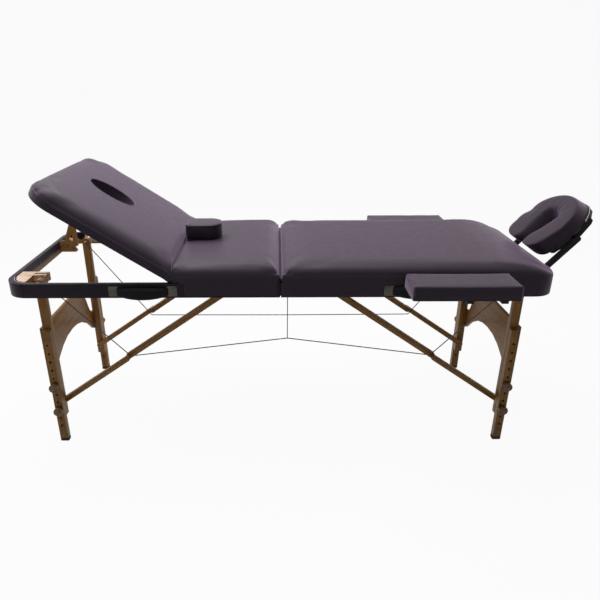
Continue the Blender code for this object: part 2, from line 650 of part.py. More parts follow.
def cradle_platform():
    half = [(-0.116, 0.050), (0.000, 0.046), (0.026, 0.030), (0.034, 0.000)]
    rim = [(0.118, 0.000), (0.116, 0.034), (0.106, 0.078), (0.080, 0.112), (0.035, 0.126), (-0.102, 0.122),
           (-0.116, 0.110)]
    outline = rim + half
    outline += [(u, -v) for u, v in reversed(half[:-1])] + [(u, -v) for u, v in reversed(rim[1:])]
    rings = []
    for normal in (CRADLE_PLATE_LOW, CRADLE_PLATE_LOW + 0.008):
        rings.append([slope_point(u, normal, v) for u, v in outline])
    pieces = [loft("plate", rings)]
    for sign in (-1, 1):
        y0, y1 = sorted((sign * 0.062, sign * 0.074))
        ear = arc(0, 0, 0.011, 180, 360, 8)
        ear += [(0.013, CRADLE_PLATE_LOW + 0.003), (-0.013, CRADLE_PLATE_LOW + 0.003)]
        points = [slope_point(u, v, 0.0) for u, v in ear]
        piece = prism("ear", [(p[0], p[2]) for p in points], y0, y1, "y")
        cut(piece, [rod("h", "y", CRADLE_ROD[0], CRADLE_ROD[1], 0.006 + RUN_GAP, y0 - 0.01, y1 + 0.01)])
        pieces.append(piece)
        y0, y1 = sorted((sign * 0.108, sign * 0.118))
        cheek = [(-0.094, 0.003), (-0.086, -0.004), (-0.020, -0.012), (0.020, -0.012), (0.070, 0.002)]
        cheek += [(0.080, 0.010), (0.080, CRADLE_PLATE_LOW + 0.003), (-0.094, CRADLE_PLATE_LOW + 0.003)]
        points = [slope_point(u, v, 0.0) for u, v in cheek]
        piece = prism("cheek", [(p[0], p[2]) for p in points], y0, y1, "y")
        cut(piece, [rod("h", "y", CRADLE_ROD[0], CRADLE_ROD[1], 0.006 + RUN_GAP, y0 - 0.01, y1 + 0.01)])
        pieces.append(piece)
    return join("cradle_platform", pieces)


def cradle_cushion():
    # Boxy padded horseshoe: a rounded section swept along the centre line, closed at both tips.
    base = CRADLE_PLATE_LOW + 0.008 + RUN_GAP
    path = ring_path(PAD_LOW, PAD_CENTRE, PAD_REACH, PAD_RADIUS, PAD_BEND, 14)
    half_high = CRADLE_PAD_HIGH / 2
    bm = bmesh.new()
    rings = []
    section = []
    for k in range(16):
        t = 2 * math.pi * (k + 0.5) / 16
        c = math.cos(t)
        s = math.sin(t)
        section.append((math.copysign(abs(c) ** 0.45, c), math.copysign(abs(s) ** 0.45, s)))
    last = len(path) - 1
    shaped = [(0, 0.46, 0.0280), (0, 0.84, 0.0170)] + [(i, 1.0, 0.0) for i in range(last + 1)]
    shaped += [(last, 0.84, 0.0170), (last, 0.46, 0.0280)]
    for index, scale, push in shaped:
        a = path[max(index - 1, 0)]
        b = path[min(index + 1, last)]
        d = Vector((b[0] - a[0], b[1] - a[1])).normalized()
        u0, v0 = path[index]
        if u0 <= PAD_CENTRE:
            d = Vector((-math.copysign(1.0, v0), 0.0))
        n = Vector((-d.y, d.x))
        half_wide = pad_half_width(u0) * scale
        v0 = v0 - math.copysign(0.65 * pad_half_width(u0) * (1 - scale), v0)
        ring = []
        for wide, tall in section:
            high = base + half_high + tall * half_high * (0.5 + 0.5 * scale)
            tip = u0 - push * (0.70 + 0.30 * tall)
            spot = slope_point(tip + n.x * wide * half_wide, high, v0 + n.y * wide * half_wide)
            ring.append(bm.verts.new(spot))
        rings.append(ring)
    for low_ring, high_ring in zip(rings, rings[1:]):
        for k in range(16):
            m = (k + 1) % 16
            bm.faces.new((low_ring[k], low_ring[m], high_ring[m], high_ring[k]))
    bm.faces.new(rings[0])
    bm.faces.new(rings[-1])
    return new_object("cradle_cushion", bm)


def armrest(prefix, sign):
    # Board on two pegs, each held in a bracket under the board, and a boxy pad on top.
    low, high = sorted((sign * (ARM_Y[0] + 0.001), sign * (ARM_Y[1] - 0.004)))
    board = box("board", ARM_X[0] + 0.006, ARM_X[1] - 0.006, low, high, ARM_BOARD_Z[0], ARM_BOARD_Z[1])
    pieces = [board]
    for px in ARM_PEG_X:
        y0, y1 = sorted((sign * (RAIL_IN + 0.0005), sign * (ARM_Y[0] + 0.060)))
        pieces.append(rod("peg", "y", px, PEG_Z, 0.008, y0, y1))
        y0, y1 = sorted((sign * (ARM_Y[0] + 0.006), sign * (ARM_Y[0] + 0.066)))
        pieces.append(box("bracket", px - 0.011, px + 0.011, y0, y1, PEG_Z - 0.011, ARM_BOARD_Z[0] + 0.002))
    join(prefix + "_board", pieces)
    low, high = sorted((sign * ARM_Y[0], sign * ARM_Y[1]))
    profile = [(0.004, 0.0), (0.0005, 0.005), (0.0, 0.014), (0.0005, 0.025), (0.003, 0.0305),
               (0.009, 0.0332), (0.024, ARM_PAD_HIGH)]
    rings = []
    for inset, up in profile:
        points = round_rect(ARM_X[0] + inset, ARM_X[1] - inset, low + inset, high - inset,
                            (max(0.016 - inset, 0.004),) * 4)
        rings.append([(px, py, ARM_BOARD_Z[1] + RUN_GAP + up) for px, py in points])
    loft(prefix + "_pad", rings)


def bolster():
    # Small plug pillow lying on the seat, flat below and rounded at the end.
    x0, x1, y0, y1 = -BACK_HINGE_X + 0.009, -BACK_HINGE_X + 0.143, -0.027, 0.083
    base = CUSHION_TOP + RUN_GAP
    profile = [(0.008, 0.0), (0.001, 0.008), (0.0, 0.028), (0.002, 0.044), (0.009, 0.056), (0.020, 0.061),
               (0.034, 0.0625)]
    rings = []
    for inset, up in profile:
        radii = [max(r - inset, 0.004) for r in (0.016, 0.050, 0.050, 0.016)]
        points = round_rect(x0 + inset, x1 - inset, y0 + inset, y1 - inset, radii)
        rings.append([(px, py, base + up) for px, py in points])
    return loft("bolster", rings)


# Assembly
HALVES = ((1, "head"), (-1, "back"))
SIDES = ((-1, "front"), (1, "rear"))

for half_side, half_name in HALVES:
    for y_sign, side_name in SIDES:
        side_rail(half_name + "_" + side_name + "_rail", half_side, y_sign)
        tag = half_name + "_" + side_name
        upper_leg(tag + "_upper_leg", half_side, y_sign)
        lower_leg(tag + "_lower_leg", half_side, y_sign)
        foot(tag + "_foot", half_side, y_sign)
        levels = hole_heights()
        knob(tag + "_knob_a", half_side, y_sign, levels[KNOB_HOLES[0]])
        knob(tag + "_knob_b", half_side, y_sign, levels[KNOB_HOLES[1]])
        upper_brace(tag + "_upper_brace", half_side, y_sign)
        lower_brace(tag + "_lower_brace", half_side, y_sign)
    end_rail(half_name + "_end_rail", half_side)
    hinge_rail(half_name + "_hinge_rail", half_side)
    arch_panel(half_name + "_arch_panel", half_side)
    handle(half_name + "_handle", half_side)

hinge_pin()
panel("head_panel", FOLD_GAP + 0.003, HALF_LENGTH - 0.004, (0.004, 0.071, 0.071, 0.004))
panel("seat_panel", -BACK_HINGE_X + 0.004, -FOLD_GAP - 0.003, (0.004,) * 4)
cushion("head_cushion", FOLD_GAP + 0.001, HALF_LENGTH, (0.012, 0.075, 0.075, 0.012))
cushion("seat_cushion", -BACK_HINGE_X + 0.0015, -FOLD_GAP - 0.001, (0.012,) * 4)
back_section()
prop_hinge = back_prop()
cradle_base()
cradle_arms()
cradle_platform()
cradle_cushion()
armrest("front_armrest", -1)
armrest("rear_armrest", 1)
bolster()
cable("front_cable", -1)
cable("rear_cable", 1)

# Origin: move everything so that the box centre is over the origin
pieces = [obj for obj in bpy.data.objects if obj.type == "MESH"]
low_x = min(v.co.x for obj in pieces for v in obj.data.vertices)
high_x = max(v.co.x for obj in pieces for v in obj.data.vertices)
shift = -round((low_x + high_x) / 2, 4)
for obj in pieces:
    obj.data.transform(Matrix.Translation((shift, 0, 0)))
    obj.data.update()

# Materials: base colour, roughness and metallic value from the photo
FINISHES = {
    "vinyl": ((0.030, 0.024, 0.030), 0.42, 0.0),
    "wood": ((0.170, 0.085, 0.038), 0.55, 0.0),
    "plywood": ((0.480, 0.300, 0.170), 0.65, 0.0),
    "steel": ((0.560, 0.560, 0.580), 0.30, 1.0),
    "rubber": ((0.020, 0.020, 0.020), 0.80, 0.0),
    "plastic": ((0.018, 0.018, 0.020), 0.45, 0.0),
}
FINISH_WORDS = (
    ("cushion", "vinyl"), ("_pad", "vinyl"), ("bolster", "vinyl"), ("_rail", "vinyl"), ("handle", "vinyl"),
    ("foot", "rubber"), ("knob", "plastic"), ("cradle_base", "plastic"), ("cradle_arms", "plastic"),
    ("cable", "steel"), ("pin", "steel"), ("_panel", "plywood"), ("platform", "plywood"),
    ("_board", "plywood"),
    ("leg", "wood"), ("brace", "wood"), ("prop", "wood"),
)


def finish(name):
    colour, roughness, metallic = FINISHES[name]
    mat = bpy.data.materials.new(name)
    mat.use_nodes = True
    shader = mat.node_tree.nodes["Principled BSDF"]
    shader.inputs["Base Color"].default_value = (*colour, 1.0)
    shader.inputs["Roughness"].default_value = roughness
    shader.inputs["Metallic"].default_value = metallic
    return mat


made = {name: finish(name) for name in FINISHES}
for obj in pieces:
    word = next(slot for key, slot in FINISH_WORDS if key in obj.name)
    obj.data.materials.clear()
    obj.data.materials.append(made["wood" if "arch" in obj.name else word])

# Joint axes as empties, each the parent of what turns or slides on it
AXES = {
    "axis_fold": (0.0, 0.0, RAIL_BOTTOM - FOLD_DROP),
    "axis_back_recline": (-BACK_HINGE_X, 0.0, RECLINE_Z),
    "axis_prop": (prop_hinge[0], PROP_Y[0], prop_hinge[1]),
    "axis_head_legs": (LEG_X, 0.0, LEG_PIVOT_Z),
    "axis_back_legs": (-LEG_X, 0.0, LEG_PIVOT_Z),
    "axis_head_upper_brace": (BRACE_TOP_X, 0.0, LEG_PIVOT_Z),
    "axis_back_upper_brace": (-BRACE_TOP_X, 0.0, LEG_PIVOT_Z),
    "axis_head_lower_brace": (LEG_X, 0.0, BRACE_LEG_Z),
    "axis_back_lower_brace": (-LEG_X, 0.0, BRACE_LEG_Z),
    "axis_cradle_slide": (HALF_LENGTH, 0.0, PEG_Z),
    "axis_cradle_arms": (CRADLE_PIVOT[0], 0.0, CRADLE_PIVOT[1]),
    "axis_cradle_platform": (CRADLE_ROD[0], 0.0, CRADLE_ROD[1]),
}
for half_side, half_name in HALVES:
    for y_sign, side_name in SIDES:
        tag = half_name + "_" + side_name
        AXES["axis_" + tag + "_lower_leg"] = (half_side * LEG_X, y_sign * LEG_LAP, LOWER_LEG_TOP)
        for letter, hole in zip("ab", KNOB_HOLES):
            high = hole_heights()[hole]
            AXES["axis_" + tag + "_knob_" + letter] = (half_side * LEG_X, y_sign * LEG_OUT, high)
for y_sign, side_name in SIDES:
    AXES["axis_" + side_name + "_armrest"] = (ARM_PEG_X[0], y_sign * HALF_W, PEG_Z)

CARRIED = {
    "axis_back_recline": ["back_panel", "back_cushion"],
    "axis_prop": ["back_prop"],
    "axis_fold": [half + rest for half in ("back_",) for rest in
                  ("front_rail", "rear_rail", "end_rail", "hinge_rail", "handle")]
                 + ["seat_panel", "seat_cushion", "hinge_pin"],
    "axis_cradle_slide": ["cradle_base"],
    "axis_cradle_arms": ["cradle_arms"],
    "axis_cradle_platform": ["cradle_platform", "cradle_cushion"],
}
for half_side, half_name in HALVES:
    CARRIED["axis_" + half_name + "_legs"] = [half_name + "_arch_panel"]
    for y_sign, side_name in SIDES:
        tag = half_name + "_" + side_name
        CARRIED["axis_" + half_name + "_legs"].append(tag + "_upper_leg")
        CARRIED.setdefault("axis_" + half_name + "_upper_brace", []).append(tag + "_upper_brace")
        CARRIED.setdefault("axis_" + half_name + "_lower_brace", []).append(tag + "_lower_brace")
        CARRIED["axis_" + tag + "_lower_leg"] = [tag + "_lower_leg", tag + "_foot"]
        for letter in "ab":
            CARRIED["axis_" + tag + "_knob_" + letter] = [tag + "_knob_" + letter]
for y_sign, side_name in SIDES:
    CARRIED["axis_" + side_name + "_armrest"] = [side_name + "_armrest_board", side_name + "_armrest_pad"]

for name, place in AXES.items():
    empty = bpy.data.objects.new(name, None)
    empty.location = (place[0] + shift, place[1], place[2])
    bpy.context.scene.collection.objects.link(empty)
    for carried in CARRIED.get(name, []):
        obj = bpy.data.objects[carried]
        obj.data.transform(Matrix.Translation(empty.location).inverted())
        obj.parent = empty
bpy.context.view_layer.update()
print("shift", shift)
for name, place in AXES.items():
    print(name, [round(place[0] + shift, 5), round(place[1], 5), round(place[2], 5)])
print("brace angle", round(math.degrees(BRACE_ANGLE), 4))
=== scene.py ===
import json
import math

import bmesh
import bpy
import numpy as np
from mathutils import Euler, Matrix, Vector
from mathutils.bvhtree import BVHTree

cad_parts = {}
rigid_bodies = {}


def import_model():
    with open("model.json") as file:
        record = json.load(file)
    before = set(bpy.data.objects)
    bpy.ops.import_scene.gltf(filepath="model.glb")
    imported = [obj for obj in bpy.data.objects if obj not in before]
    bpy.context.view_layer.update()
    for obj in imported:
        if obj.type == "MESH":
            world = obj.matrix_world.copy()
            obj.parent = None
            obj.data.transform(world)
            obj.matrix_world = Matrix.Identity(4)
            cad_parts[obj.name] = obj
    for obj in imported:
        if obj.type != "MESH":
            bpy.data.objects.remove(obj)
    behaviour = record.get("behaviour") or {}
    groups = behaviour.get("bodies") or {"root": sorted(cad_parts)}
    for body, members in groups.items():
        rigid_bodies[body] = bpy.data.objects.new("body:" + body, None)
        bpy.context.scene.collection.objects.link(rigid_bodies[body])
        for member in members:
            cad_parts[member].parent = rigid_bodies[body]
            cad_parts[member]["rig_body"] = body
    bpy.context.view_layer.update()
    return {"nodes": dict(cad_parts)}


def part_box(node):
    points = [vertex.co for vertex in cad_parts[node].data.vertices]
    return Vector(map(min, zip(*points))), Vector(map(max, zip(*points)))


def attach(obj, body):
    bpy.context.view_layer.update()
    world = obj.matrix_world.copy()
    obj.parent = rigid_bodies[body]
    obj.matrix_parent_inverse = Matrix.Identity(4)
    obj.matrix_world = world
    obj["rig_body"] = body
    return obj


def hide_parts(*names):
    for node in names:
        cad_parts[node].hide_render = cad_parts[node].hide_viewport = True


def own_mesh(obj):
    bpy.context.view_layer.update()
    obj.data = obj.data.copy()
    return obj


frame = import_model()
scene = bpy.context.scene
nodes = frame["nodes"]

# Sizes shared with the CAD source, in metres. X runs from the fold line and is moved by FOLD_X.
pin_low, pin_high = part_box("hinge_pin")
FOLD_X = (pin_low.x + pin_high.x) / 2
FOLD_Z = (pin_low.z + pin_high.z) / 2
RAIL_LOW = 0.612
RAIL_TOP = 0.662
RAIL_IN = 0.304
HALF_W = 0.320
HALF_LENGTH = 0.930
CORNER_R = 0.075
CUSHION_LOW = 0.6686
CUSHION_TOP = 0.7231
SEAM_X = 0.365
SEAM_Z = 0.652
BACK_END = 0.915
BACK_TILT = math.radians(33.0)
LEG_X = 0.830
LEG_PIVOT_Z = 0.640
ELBOW = (0.5655, 0.3325)
BRACE_SLOPE = math.radians(34.6111)
CABLE_Y = 0.187
CABLE_END_Y = 0.2325
TIE_X = 0.026
TIE_Z = 0.392
CRADLE_ROD = (1.056, 0.759)
CRADLE_TILT = math.radians(42.0)
CRADLE_BASE = 0.0243
ARM_X = (0.4035, 0.7415)
ARM_Y = (0.347, 0.472)
ARM_TOP = 0.7083
HANDLE_X = (0.362, 0.557)
HANDLE_Z = 0.636

# Camera, as fitted to the photo

CAMERA_PLACE = (FOLD_X - 0.01126, -2.00491, 1.31844)
CAMERA_PITCH = 1.169268
CAMERA_ROLL = -0.0033
camera_data = bpy.data.cameras.new("camera")
camera_data.sensor_width = 36.0
camera_data.lens = 32.7033
camera_data.shift_x = 0.037915
camera = bpy.data.objects.new("camera", camera_data)
camera_turn = Euler((CAMERA_PITCH, 0.0, 0.0)).to_matrix() @ Matrix.Rotation(CAMERA_ROLL, 3, "Z")
camera.matrix_world = Matrix.Translation(CAMERA_PLACE) @ camera_turn.to_4x4()
scene.collection.objects.link(camera)
scene.camera = camera
scene.view_settings.view_transform = "Standard"


# Materials

class Look:
    """A material's node tree, with short calls to add nodes and links."""

    def __init__(self, name, roughness, metallic=0.0, specular=0.5):
        self.material = bpy.data.materials.new(name)
        self.material.use_nodes = True
        self.tree = self.material.node_tree
        self.shader = self.tree.nodes["Principled BSDF"]
        self.set("Roughness", roughness)
        self.set("Metallic", metallic)
        self.set("Specular IOR Level", specular)

    def set(self, socket, value):
        self.shader.inputs[socket].default_value = value

    def add(self, kind, values=()):
        """A new node, with the inputs that values names set."""
        node = self.tree.nodes.new(kind)
        for socket, value in dict(values).items():
            node.inputs[socket].default_value = value
        return node

    def link(self, source, target):
        self.tree.links.new(source, target)

    def place(self, stretch=(1, 1, 1), turn=(0, 0, 0)):
        coords = self.add("ShaderNodeTexCoord")
        rotate = self.add("ShaderNodeMapping", {"Rotation": turn})
        self.link(coords.outputs["Object"], rotate.inputs["Vector"])
        scale = self.add("ShaderNodeMapping", {"Scale": stretch})
        self.link(rotate.outputs["Vector"], scale.inputs["Vector"])
        return scale.outputs["Vector"]

    def noise(self, vector, scale, detail=4.0, roughness=0.55, distortion=0.0):
        values = {"Scale": scale, "Detail": detail, "Roughness": roughness, "Distortion": distortion}
        node = self.add("ShaderNodeTexNoise", values)
        self.link(vector, node.inputs["Vector"])
        return node.outputs[0]

    def cells(self, vector, scale):
        node = self.add("ShaderNodeTexVoronoi", {"Scale": scale})
        node.feature = "DISTANCE_TO_EDGE"
        self.link(vector, node.inputs["Vector"])
        return node.outputs["Distance"]

    def wave(self, vector, scale, distortion, direction):
        values = {"Scale": scale, "Distortion": distortion, "Detail": 2.0, "Detail Scale": 1.2}
        node = self.add("ShaderNodeTexWave", values)
        node.bands_direction = direction
        self.link(vector, node.inputs["Vector"])
        return node.outputs["Fac"]

    def ramp(self, value, stops):
        node = self.add("ShaderNodeValToRGB")
        ramp = node.color_ramp
        while len(ramp.elements) < len(stops):
            ramp.elements.new(0.5)
        for element, (spot, colour) in zip(ramp.elements, stops):
            element.position = spot
            element.color = (*colour, 1.0)
        self.link(value, node.inputs["Fac"])
        return node.outputs["Color"]

    def spread(self, value, low, high):
        """Spread the middle of a texture's range over low to high."""
        values = {"From Min": 0.3, "From Max": 0.7, "To Min": low, "To Max": high}
        node = self.add("ShaderNodeMapRange", values)
        self.link(value, node.inputs["Value"])
        return node.outputs["Result"]

    def mix(self, factor, first, second, blend):
        node = self.add("ShaderNodeMix")
        node.data_type = "RGBA"
        node.blend_type = blend
        node.inputs["Factor"].default_value = factor
        colours = [socket for socket in node.inputs if socket.type == "RGBA"]
        self.link(first, colours[0])
        self.link(second, colours[1])
        return [socket for socket in node.outputs if socket.type == "RGBA"][0]

    def bump(self, height, strength, distance, under=None):
        node = self.add("ShaderNodeBump", {"Strength": strength, "Distance": distance})
        self.link(height, node.inputs["Height"])
        if under is not None:
            self.link(under, node.inputs["Normal"])
        self.link(node.outputs["Normal"], self.shader.inputs["Normal"])
        return node.outputs["Normal"]

    def colour(self, socket):
        self.link(socket, self.shader.inputs["Base Color"])

    def rough(self, socket):
        self.link(socket, self.shader.inputs["Roughness"])


def vinyl_look(name, dark, light, specular=0.09, sheen=0.56):
    look = Look(name, 0.42, specular=specular)
    look.set("Sheen Weight", sheen)
    look.set("Sheen Roughness", 0.46)
    look.set("Sheen Tint", (0.66, 0.50, 0.70, 1.0))
    where = look.place()
    cloud = look.noise(where, 5.0, 5.0, 0.6)
    look.colour(look.ramp(cloud, [(0.30, dark), (0.70, light)]))
    look.rough(look.spread(look.noise(where, 40.0, 4.0), 0.36, 0.48))
    soft = look.bump(look.noise(where, 7.0, 2.0), 0.03, 0.004)
    grain = look.bump(look.cells(where, 850.0), 0.16, 0.0004, soft)
    look.bump(look.noise(where, 2400.0, 2.0), 0.08, 0.0002, grain)
    return look.material


def wood_look(name, deep, mid, pale, along="Z", turn=(0, 0, 0)):
    look = Look(name, 0.45, specular=0.22)
    stretch = [1.0, 1.0, 1.0]
    stretch["XYZ".index(along)] = 0.055
    where = look.place(stretch, turn)
    rings = look.noise(where, 58.0, 6.0, 0.62, 0.6)
    fine = look.noise(where, 330.0, 3.0, 0.5)
    broad = look.noise(where, 11.0, 3.0, 0.5)
    tone = look.ramp(rings, [(0.28, deep), (0.52, mid), (0.78, pale)])
    shade = look.ramp(broad, [(0.25, (0.62, 0.60, 0.58)), (0.75, (1.0, 1.0, 1.0))])
    colour = look.mix(0.75, tone, shade, "MULTIPLY")
    pores = look.ramp(fine, [(0.36, (0.52, 0.47, 0.42)), (0.50, (1.0, 1.0, 1.0))])
    colour = look.mix(0.70, colour, pores, "MULTIPLY")
    look.colour(colour)
    look.rough(look.spread(rings, 0.38, 0.52))
    under = look.bump(rings, 0.10, 0.0006)
    look.bump(fine, 0.18, 0.0003, under)
    return look.material


def metal_look(name, dark, light, rough=(0.24, 0.42)):
    look = Look(name, 0.32, metallic=1.0)
    where = look.place()
    streaks = look.noise(where, 240.0, 4.0, 0.6)
    patches = look.noise(where, 22.0, 4.0)
    look.colour(look.ramp(patches, [(0.3, dark), (0.7, light)]))
    look.rough(look.spread(streaks, rough[0], rough[1]))
    look.bump(streaks, 0.10, 0.0002)
    return look.material


def plain_look(name, dark, light, rough=(0.40, 0.58), grain=900.0, depth=0.0003, specular=0.4):
    look = Look(name, 0.5, specular=specular)
    where = look.place()
    cloud = look.noise(where, 14.0, 5.0)
    look.colour(look.ramp(cloud, [(0.3, dark), (0.7, light)]))
    look.rough(look.spread(look.noise(where, 60.0, 3.0), rough[0], rough[1]))
    look.bump(look.noise(where, grain, 3.0), 0.25, depth)
    return look.material


def web_look(name, dark, light):
    look = Look(name, 0.62, specular=0.10)
    where = look.place()
    rows = look.wave(where, 320.0, 0.3, direction="Z")
    across = look.wave(where, 320.0, 0.3, direction="X")
    weave = look.mix(0.5, rows, across, "DARKEN")
    look.colour(look.ramp(weave, [(0.2, dark), (0.8, light)]))
    look.bump(weave, 0.35, 0.0006)
    return look.material


VINYL = vinyl_look("vinyl", (0.0420, 0.0305, 0.0440), (0.0480, 0.0350, 0.0500))
VINYL_EDGE = vinyl_look("vinyl_piping", (0.042, 0.031, 0.045), (0.050, 0.037, 0.053), 0.16)
# A darker copy of the cushion vinyl for the back half's rails: painted shade on the same cover
SHADED_RAIL_VINYL = vinyl_look("vinyl_on_rails_painted_shade", (0.015, 0.0110, 0.0155), (0.019, 0.0135, 0.0195), 0.09, 0.55)
# A darker, less glossy copy of the vinyl for the end rails' inner faces and the seam flap: painted shade on
# the turned-in cover
SHADED_LINING = vinyl_look("vinyl_turned_in_painted_shade", (0.014, 0.0095, 0.015), (0.018, 0.012, 0.019), 0.06, 0.12)
STAIN = ((0.300, 0.134, 0.034), (0.445, 0.222, 0.062), (0.550, 0.300, 0.098))
WOOD_UP = wood_look("stained_wood_upright", *STAIN, along="Z")
WOOD_ACROSS = wood_look("stained_wood_across", *STAIN, along="Y")
WOOD_LONG = wood_look("stained_wood_along", *STAIN, along="X")
WOOD_HEAD_BRACE = wood_look("stained_wood_head_brace", *STAIN, along="X", turn=(0, -BRACE_SLOPE, 0))
WOOD_BACK_BRACE = wood_look("stained_wood_back_brace", *STAIN, along="X", turn=(0, BRACE_SLOPE, 0))
TURNED = ((0.20, 0.115, 0.060), (0.33, 0.205, 0.115), (0.46, 0.310, 0.185))
WOOD_KNOB = wood_look("turned_wood", *TURNED, along="Y")
RAW = ((0.84, 0.610, 0.450), (0.94, 0.720, 0.560), (0.97, 0.800, 0.650))
WOOD_RAW = wood_look("raw_wood", *RAW, along="X")
VENEER = ((0.40, 0.270, 0.165), (0.52, 0.370, 0.240), (0.62, 0.460, 0.310))
PLY = wood_look("raw_plywood", *VENEER, along="Y")
STEEL = metal_look("zinc_steel", (0.42, 0.42, 0.40), (0.60, 0.59, 0.56))
BRASSY = metal_look("passivated_steel", (0.035, 0.033, 0.028), (0.085, 0.080, 0.066))
CABLE = metal_look("cable_steel", (0.035, 0.035, 0.035), (0.070, 0.070, 0.068), (0.34, 0.50))
RUBBER = plain_look("rubber", (0.012, 0.012, 0.012), (0.022, 0.021, 0.021), (0.62, 0.80), 700.0, 0.0006,
                    0.3)
BLACK = plain_look("black_lacquer", (0.007, 0.007, 0.008), (0.012, 0.012, 0.013), (0.42, 0.56),
                   specular=0.10)
STRIP = plain_look("hook_strip", (0.55, 0.54, 0.52), (0.70, 0.69, 0.67), (0.70, 0.85), 1500.0, 0.0005)
WEB = web_look("webbing", (0.0035, 0.0032, 0.0038), (0.0080, 0.0072, 0.0085))
THREAD = plain_look("thread", (0.016, 0.014, 0.016), (0.030, 0.027, 0.030), (0.55, 0.70), 3000.0, 0.0002)


# Mesh helpers

def shade(obj, angle):
    """Shade smooth, with edges above an angle in degrees sharp."""
    obj.data.polygons.foreach_set("use_smooth", [True] * len(obj.data.polygons))
    obj.data.set_sharp_from_angle(angle=math.radians(angle))


def finish_mesh(obj, material, smooth_angle):
    obj.data.materials.clear()
    obj.data.materials.append(material)
    shade(obj, smooth_angle)
    obj.data.update()


def ring_faces(rings, size, closed=False):
    """Faces of a skin over rings of points, capped at both ends unless the rings close up."""
    faces = []
    for i in range(rings if closed else rings - 1):
        j = (i + 1) % rings
        for k in range(size):
            m = (k + 1) % size
            faces.append((i * size + k, i * size + m, j * size + m, j * size + k))
    if not closed:
        faces.append(tuple(range(size)))
        faces.append(tuple((rings - 1) * size + k for k in range(size)))
    return faces


def squared(value, power):
    """A sine or cosine raised to a power with its sign kept, which squares off a round section."""
    return math.copysign(abs(value) ** power, value)


def piece(name, points, faces, material, body=None, smooth_angle=40.0, shift=True):
    move = FOLD_X if shift else 0.0
    mesh = bpy.data.meshes.new(name)
    mesh.from_pydata([(p[0] + move, p[1], p[2]) for p in points], [], faces)
    mesh.validate()
    obj = bpy.data.objects.new(name, mesh)
    scene.collection.objects.link(obj)
    bm = bmesh.new()
    bm.from_mesh(mesh)
    bmesh.ops.recalc_face_normals(bm, faces=bm.faces)
    bm.to_mesh(mesh)
    bm.free()
    finish_mesh(obj, material, smooth_angle)
    if body:
        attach(obj, body)
    return obj


def settle(obj):
    """Replace an object's mesh by its evaluated mesh, and drop the modifiers."""
    bpy.context.view_layer.update()
    graph = bpy.context.evaluated_depsgraph_get()
    mesh = bpy.data.meshes.new_from_object(obj.evaluated_get(graph))
    old = obj.data
    obj.modifiers.clear()
    obj.data = mesh
    bpy.data.meshes.remove(old)
    return obj


def points_of(obj):
    flat = np.zeros(len(obj.data.vertices) * 3, np.float32)
    obj.data.vertices.foreach_get("co", flat)
    return flat.reshape(-1, 3).astype(float)


def put_points(obj, points):
    obj.data.vertices.foreach_set("co", points.astype(np.float32).ravel())
    obj.data.update()


def body_of(node):
    return nodes[node]["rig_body"]


def dressed(node, material, bevel, segments=2, paint=None, cuts=()):
    """A copy of a CAD node with eased edges, which stands for it. paint picks a material for each face."""
    obj = bpy.data.objects.new(node + "_dressed", nodes[node].data.copy())
    scene.collection.objects.link(obj)
    bm = bmesh.new()
    bm.from_mesh(obj.data)
    bmesh.ops.remove_doubles(bm, verts=bm.verts, dist=2e-5)
    bmesh.ops.dissolve_limit(bm, angle_limit=math.radians(0.6), verts=bm.verts, edges=bm.edges)
    for spot, normal in cuts:
        geometry = bm.verts[:] + bm.edges[:] + bm.faces[:]
        bmesh.ops.bisect_plane(bm, geom=geometry, plane_co=spot, plane_no=normal, dist=1e-6)
    bm.to_mesh(obj.data)
    bm.free()
    if obj.data.has_custom_normals:
        with bpy.context.temp_override(object=obj, active_object=obj, selected_objects=[obj]):
            bpy.ops.mesh.customdata_custom_splitnormals_clear()
    ease = obj.modifiers.new("ease", "BEVEL")
    ease.width = bevel
    ease.segments = segments
    ease.limit_method = "ANGLE"
    ease.angle_limit = math.radians(32.0)
    ease.use_clamp_overlap = True
    settle(obj)
    finish_mesh(obj, material, 35.0)
    if paint:
        slots = {material.name: 0}
        for face in obj.data.polygons:
            wanted = paint(face.center - Vector((FOLD_X, 0, 0)), face.normal)
            if wanted is None:
                continue
            if wanted.name not in slots:
                slots[wanted.name] = len(obj.data.materials)
                obj.data.materials.append(wanted)
            face.material_index = slots[wanted.name]
    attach(obj, body_of(node))
    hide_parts(node)
    return obj


STRANDS = 6
STRAND_TURN = 420.0


def tube(name, path, radius, material, body=None, sides=10, closed=False, groove=0.0):
    """A tube along a path. A groove flutes its section, which turns along the path, as in a laid cable."""
    path = [Vector(p) for p in path]
    count = len(path)
    points = []
    side = None
    run = 0.0
    for i, spot in enumerate(path):
        before = path[(i - 1) % count] if closed or i else path[i]
        after = path[(i + 1) % count] if closed or i < count - 1 else path[i]
        ahead = (after - before).normalized()
        if side is None:
            side = ahead.orthogonal().normalized()
        side = (side - ahead * side.dot(ahead)).normalized()
        other = ahead.cross(side)
        if i:
            run += (spot - path[i - 1]).length
        for k in range(sides):
            a = 2 * math.pi * k / sides
            r = radius - groove * (0.5 - 0.5 * math.cos(STRANDS * (a - STRAND_TURN * run)))
            points.append(spot + side * (r * math.cos(a)) + other * (r * math.sin(a)))
    return piece(name, points, ring_faces(count, sides, closed), material, body, 60.0)


def lathe(name, centre, axis, profile, material, body=None, sides=20, angle=35.0):
    """A turned piece: profile is a list of (distance along the axis, radius)."""
    axis = Vector(axis).normalized()
    side = axis.orthogonal().normalized()
    other = axis.cross(side)
    points = []
    for along, radius in profile:
        for k in range(sides):
            a = 2 * math.pi * k / sides
            points.append(Vector(centre) + axis * along + (side * math.cos(a) + other * math.sin(a)) * radius)
    return piece(name, points, ring_faces(len(profile), sides), material, body, angle)


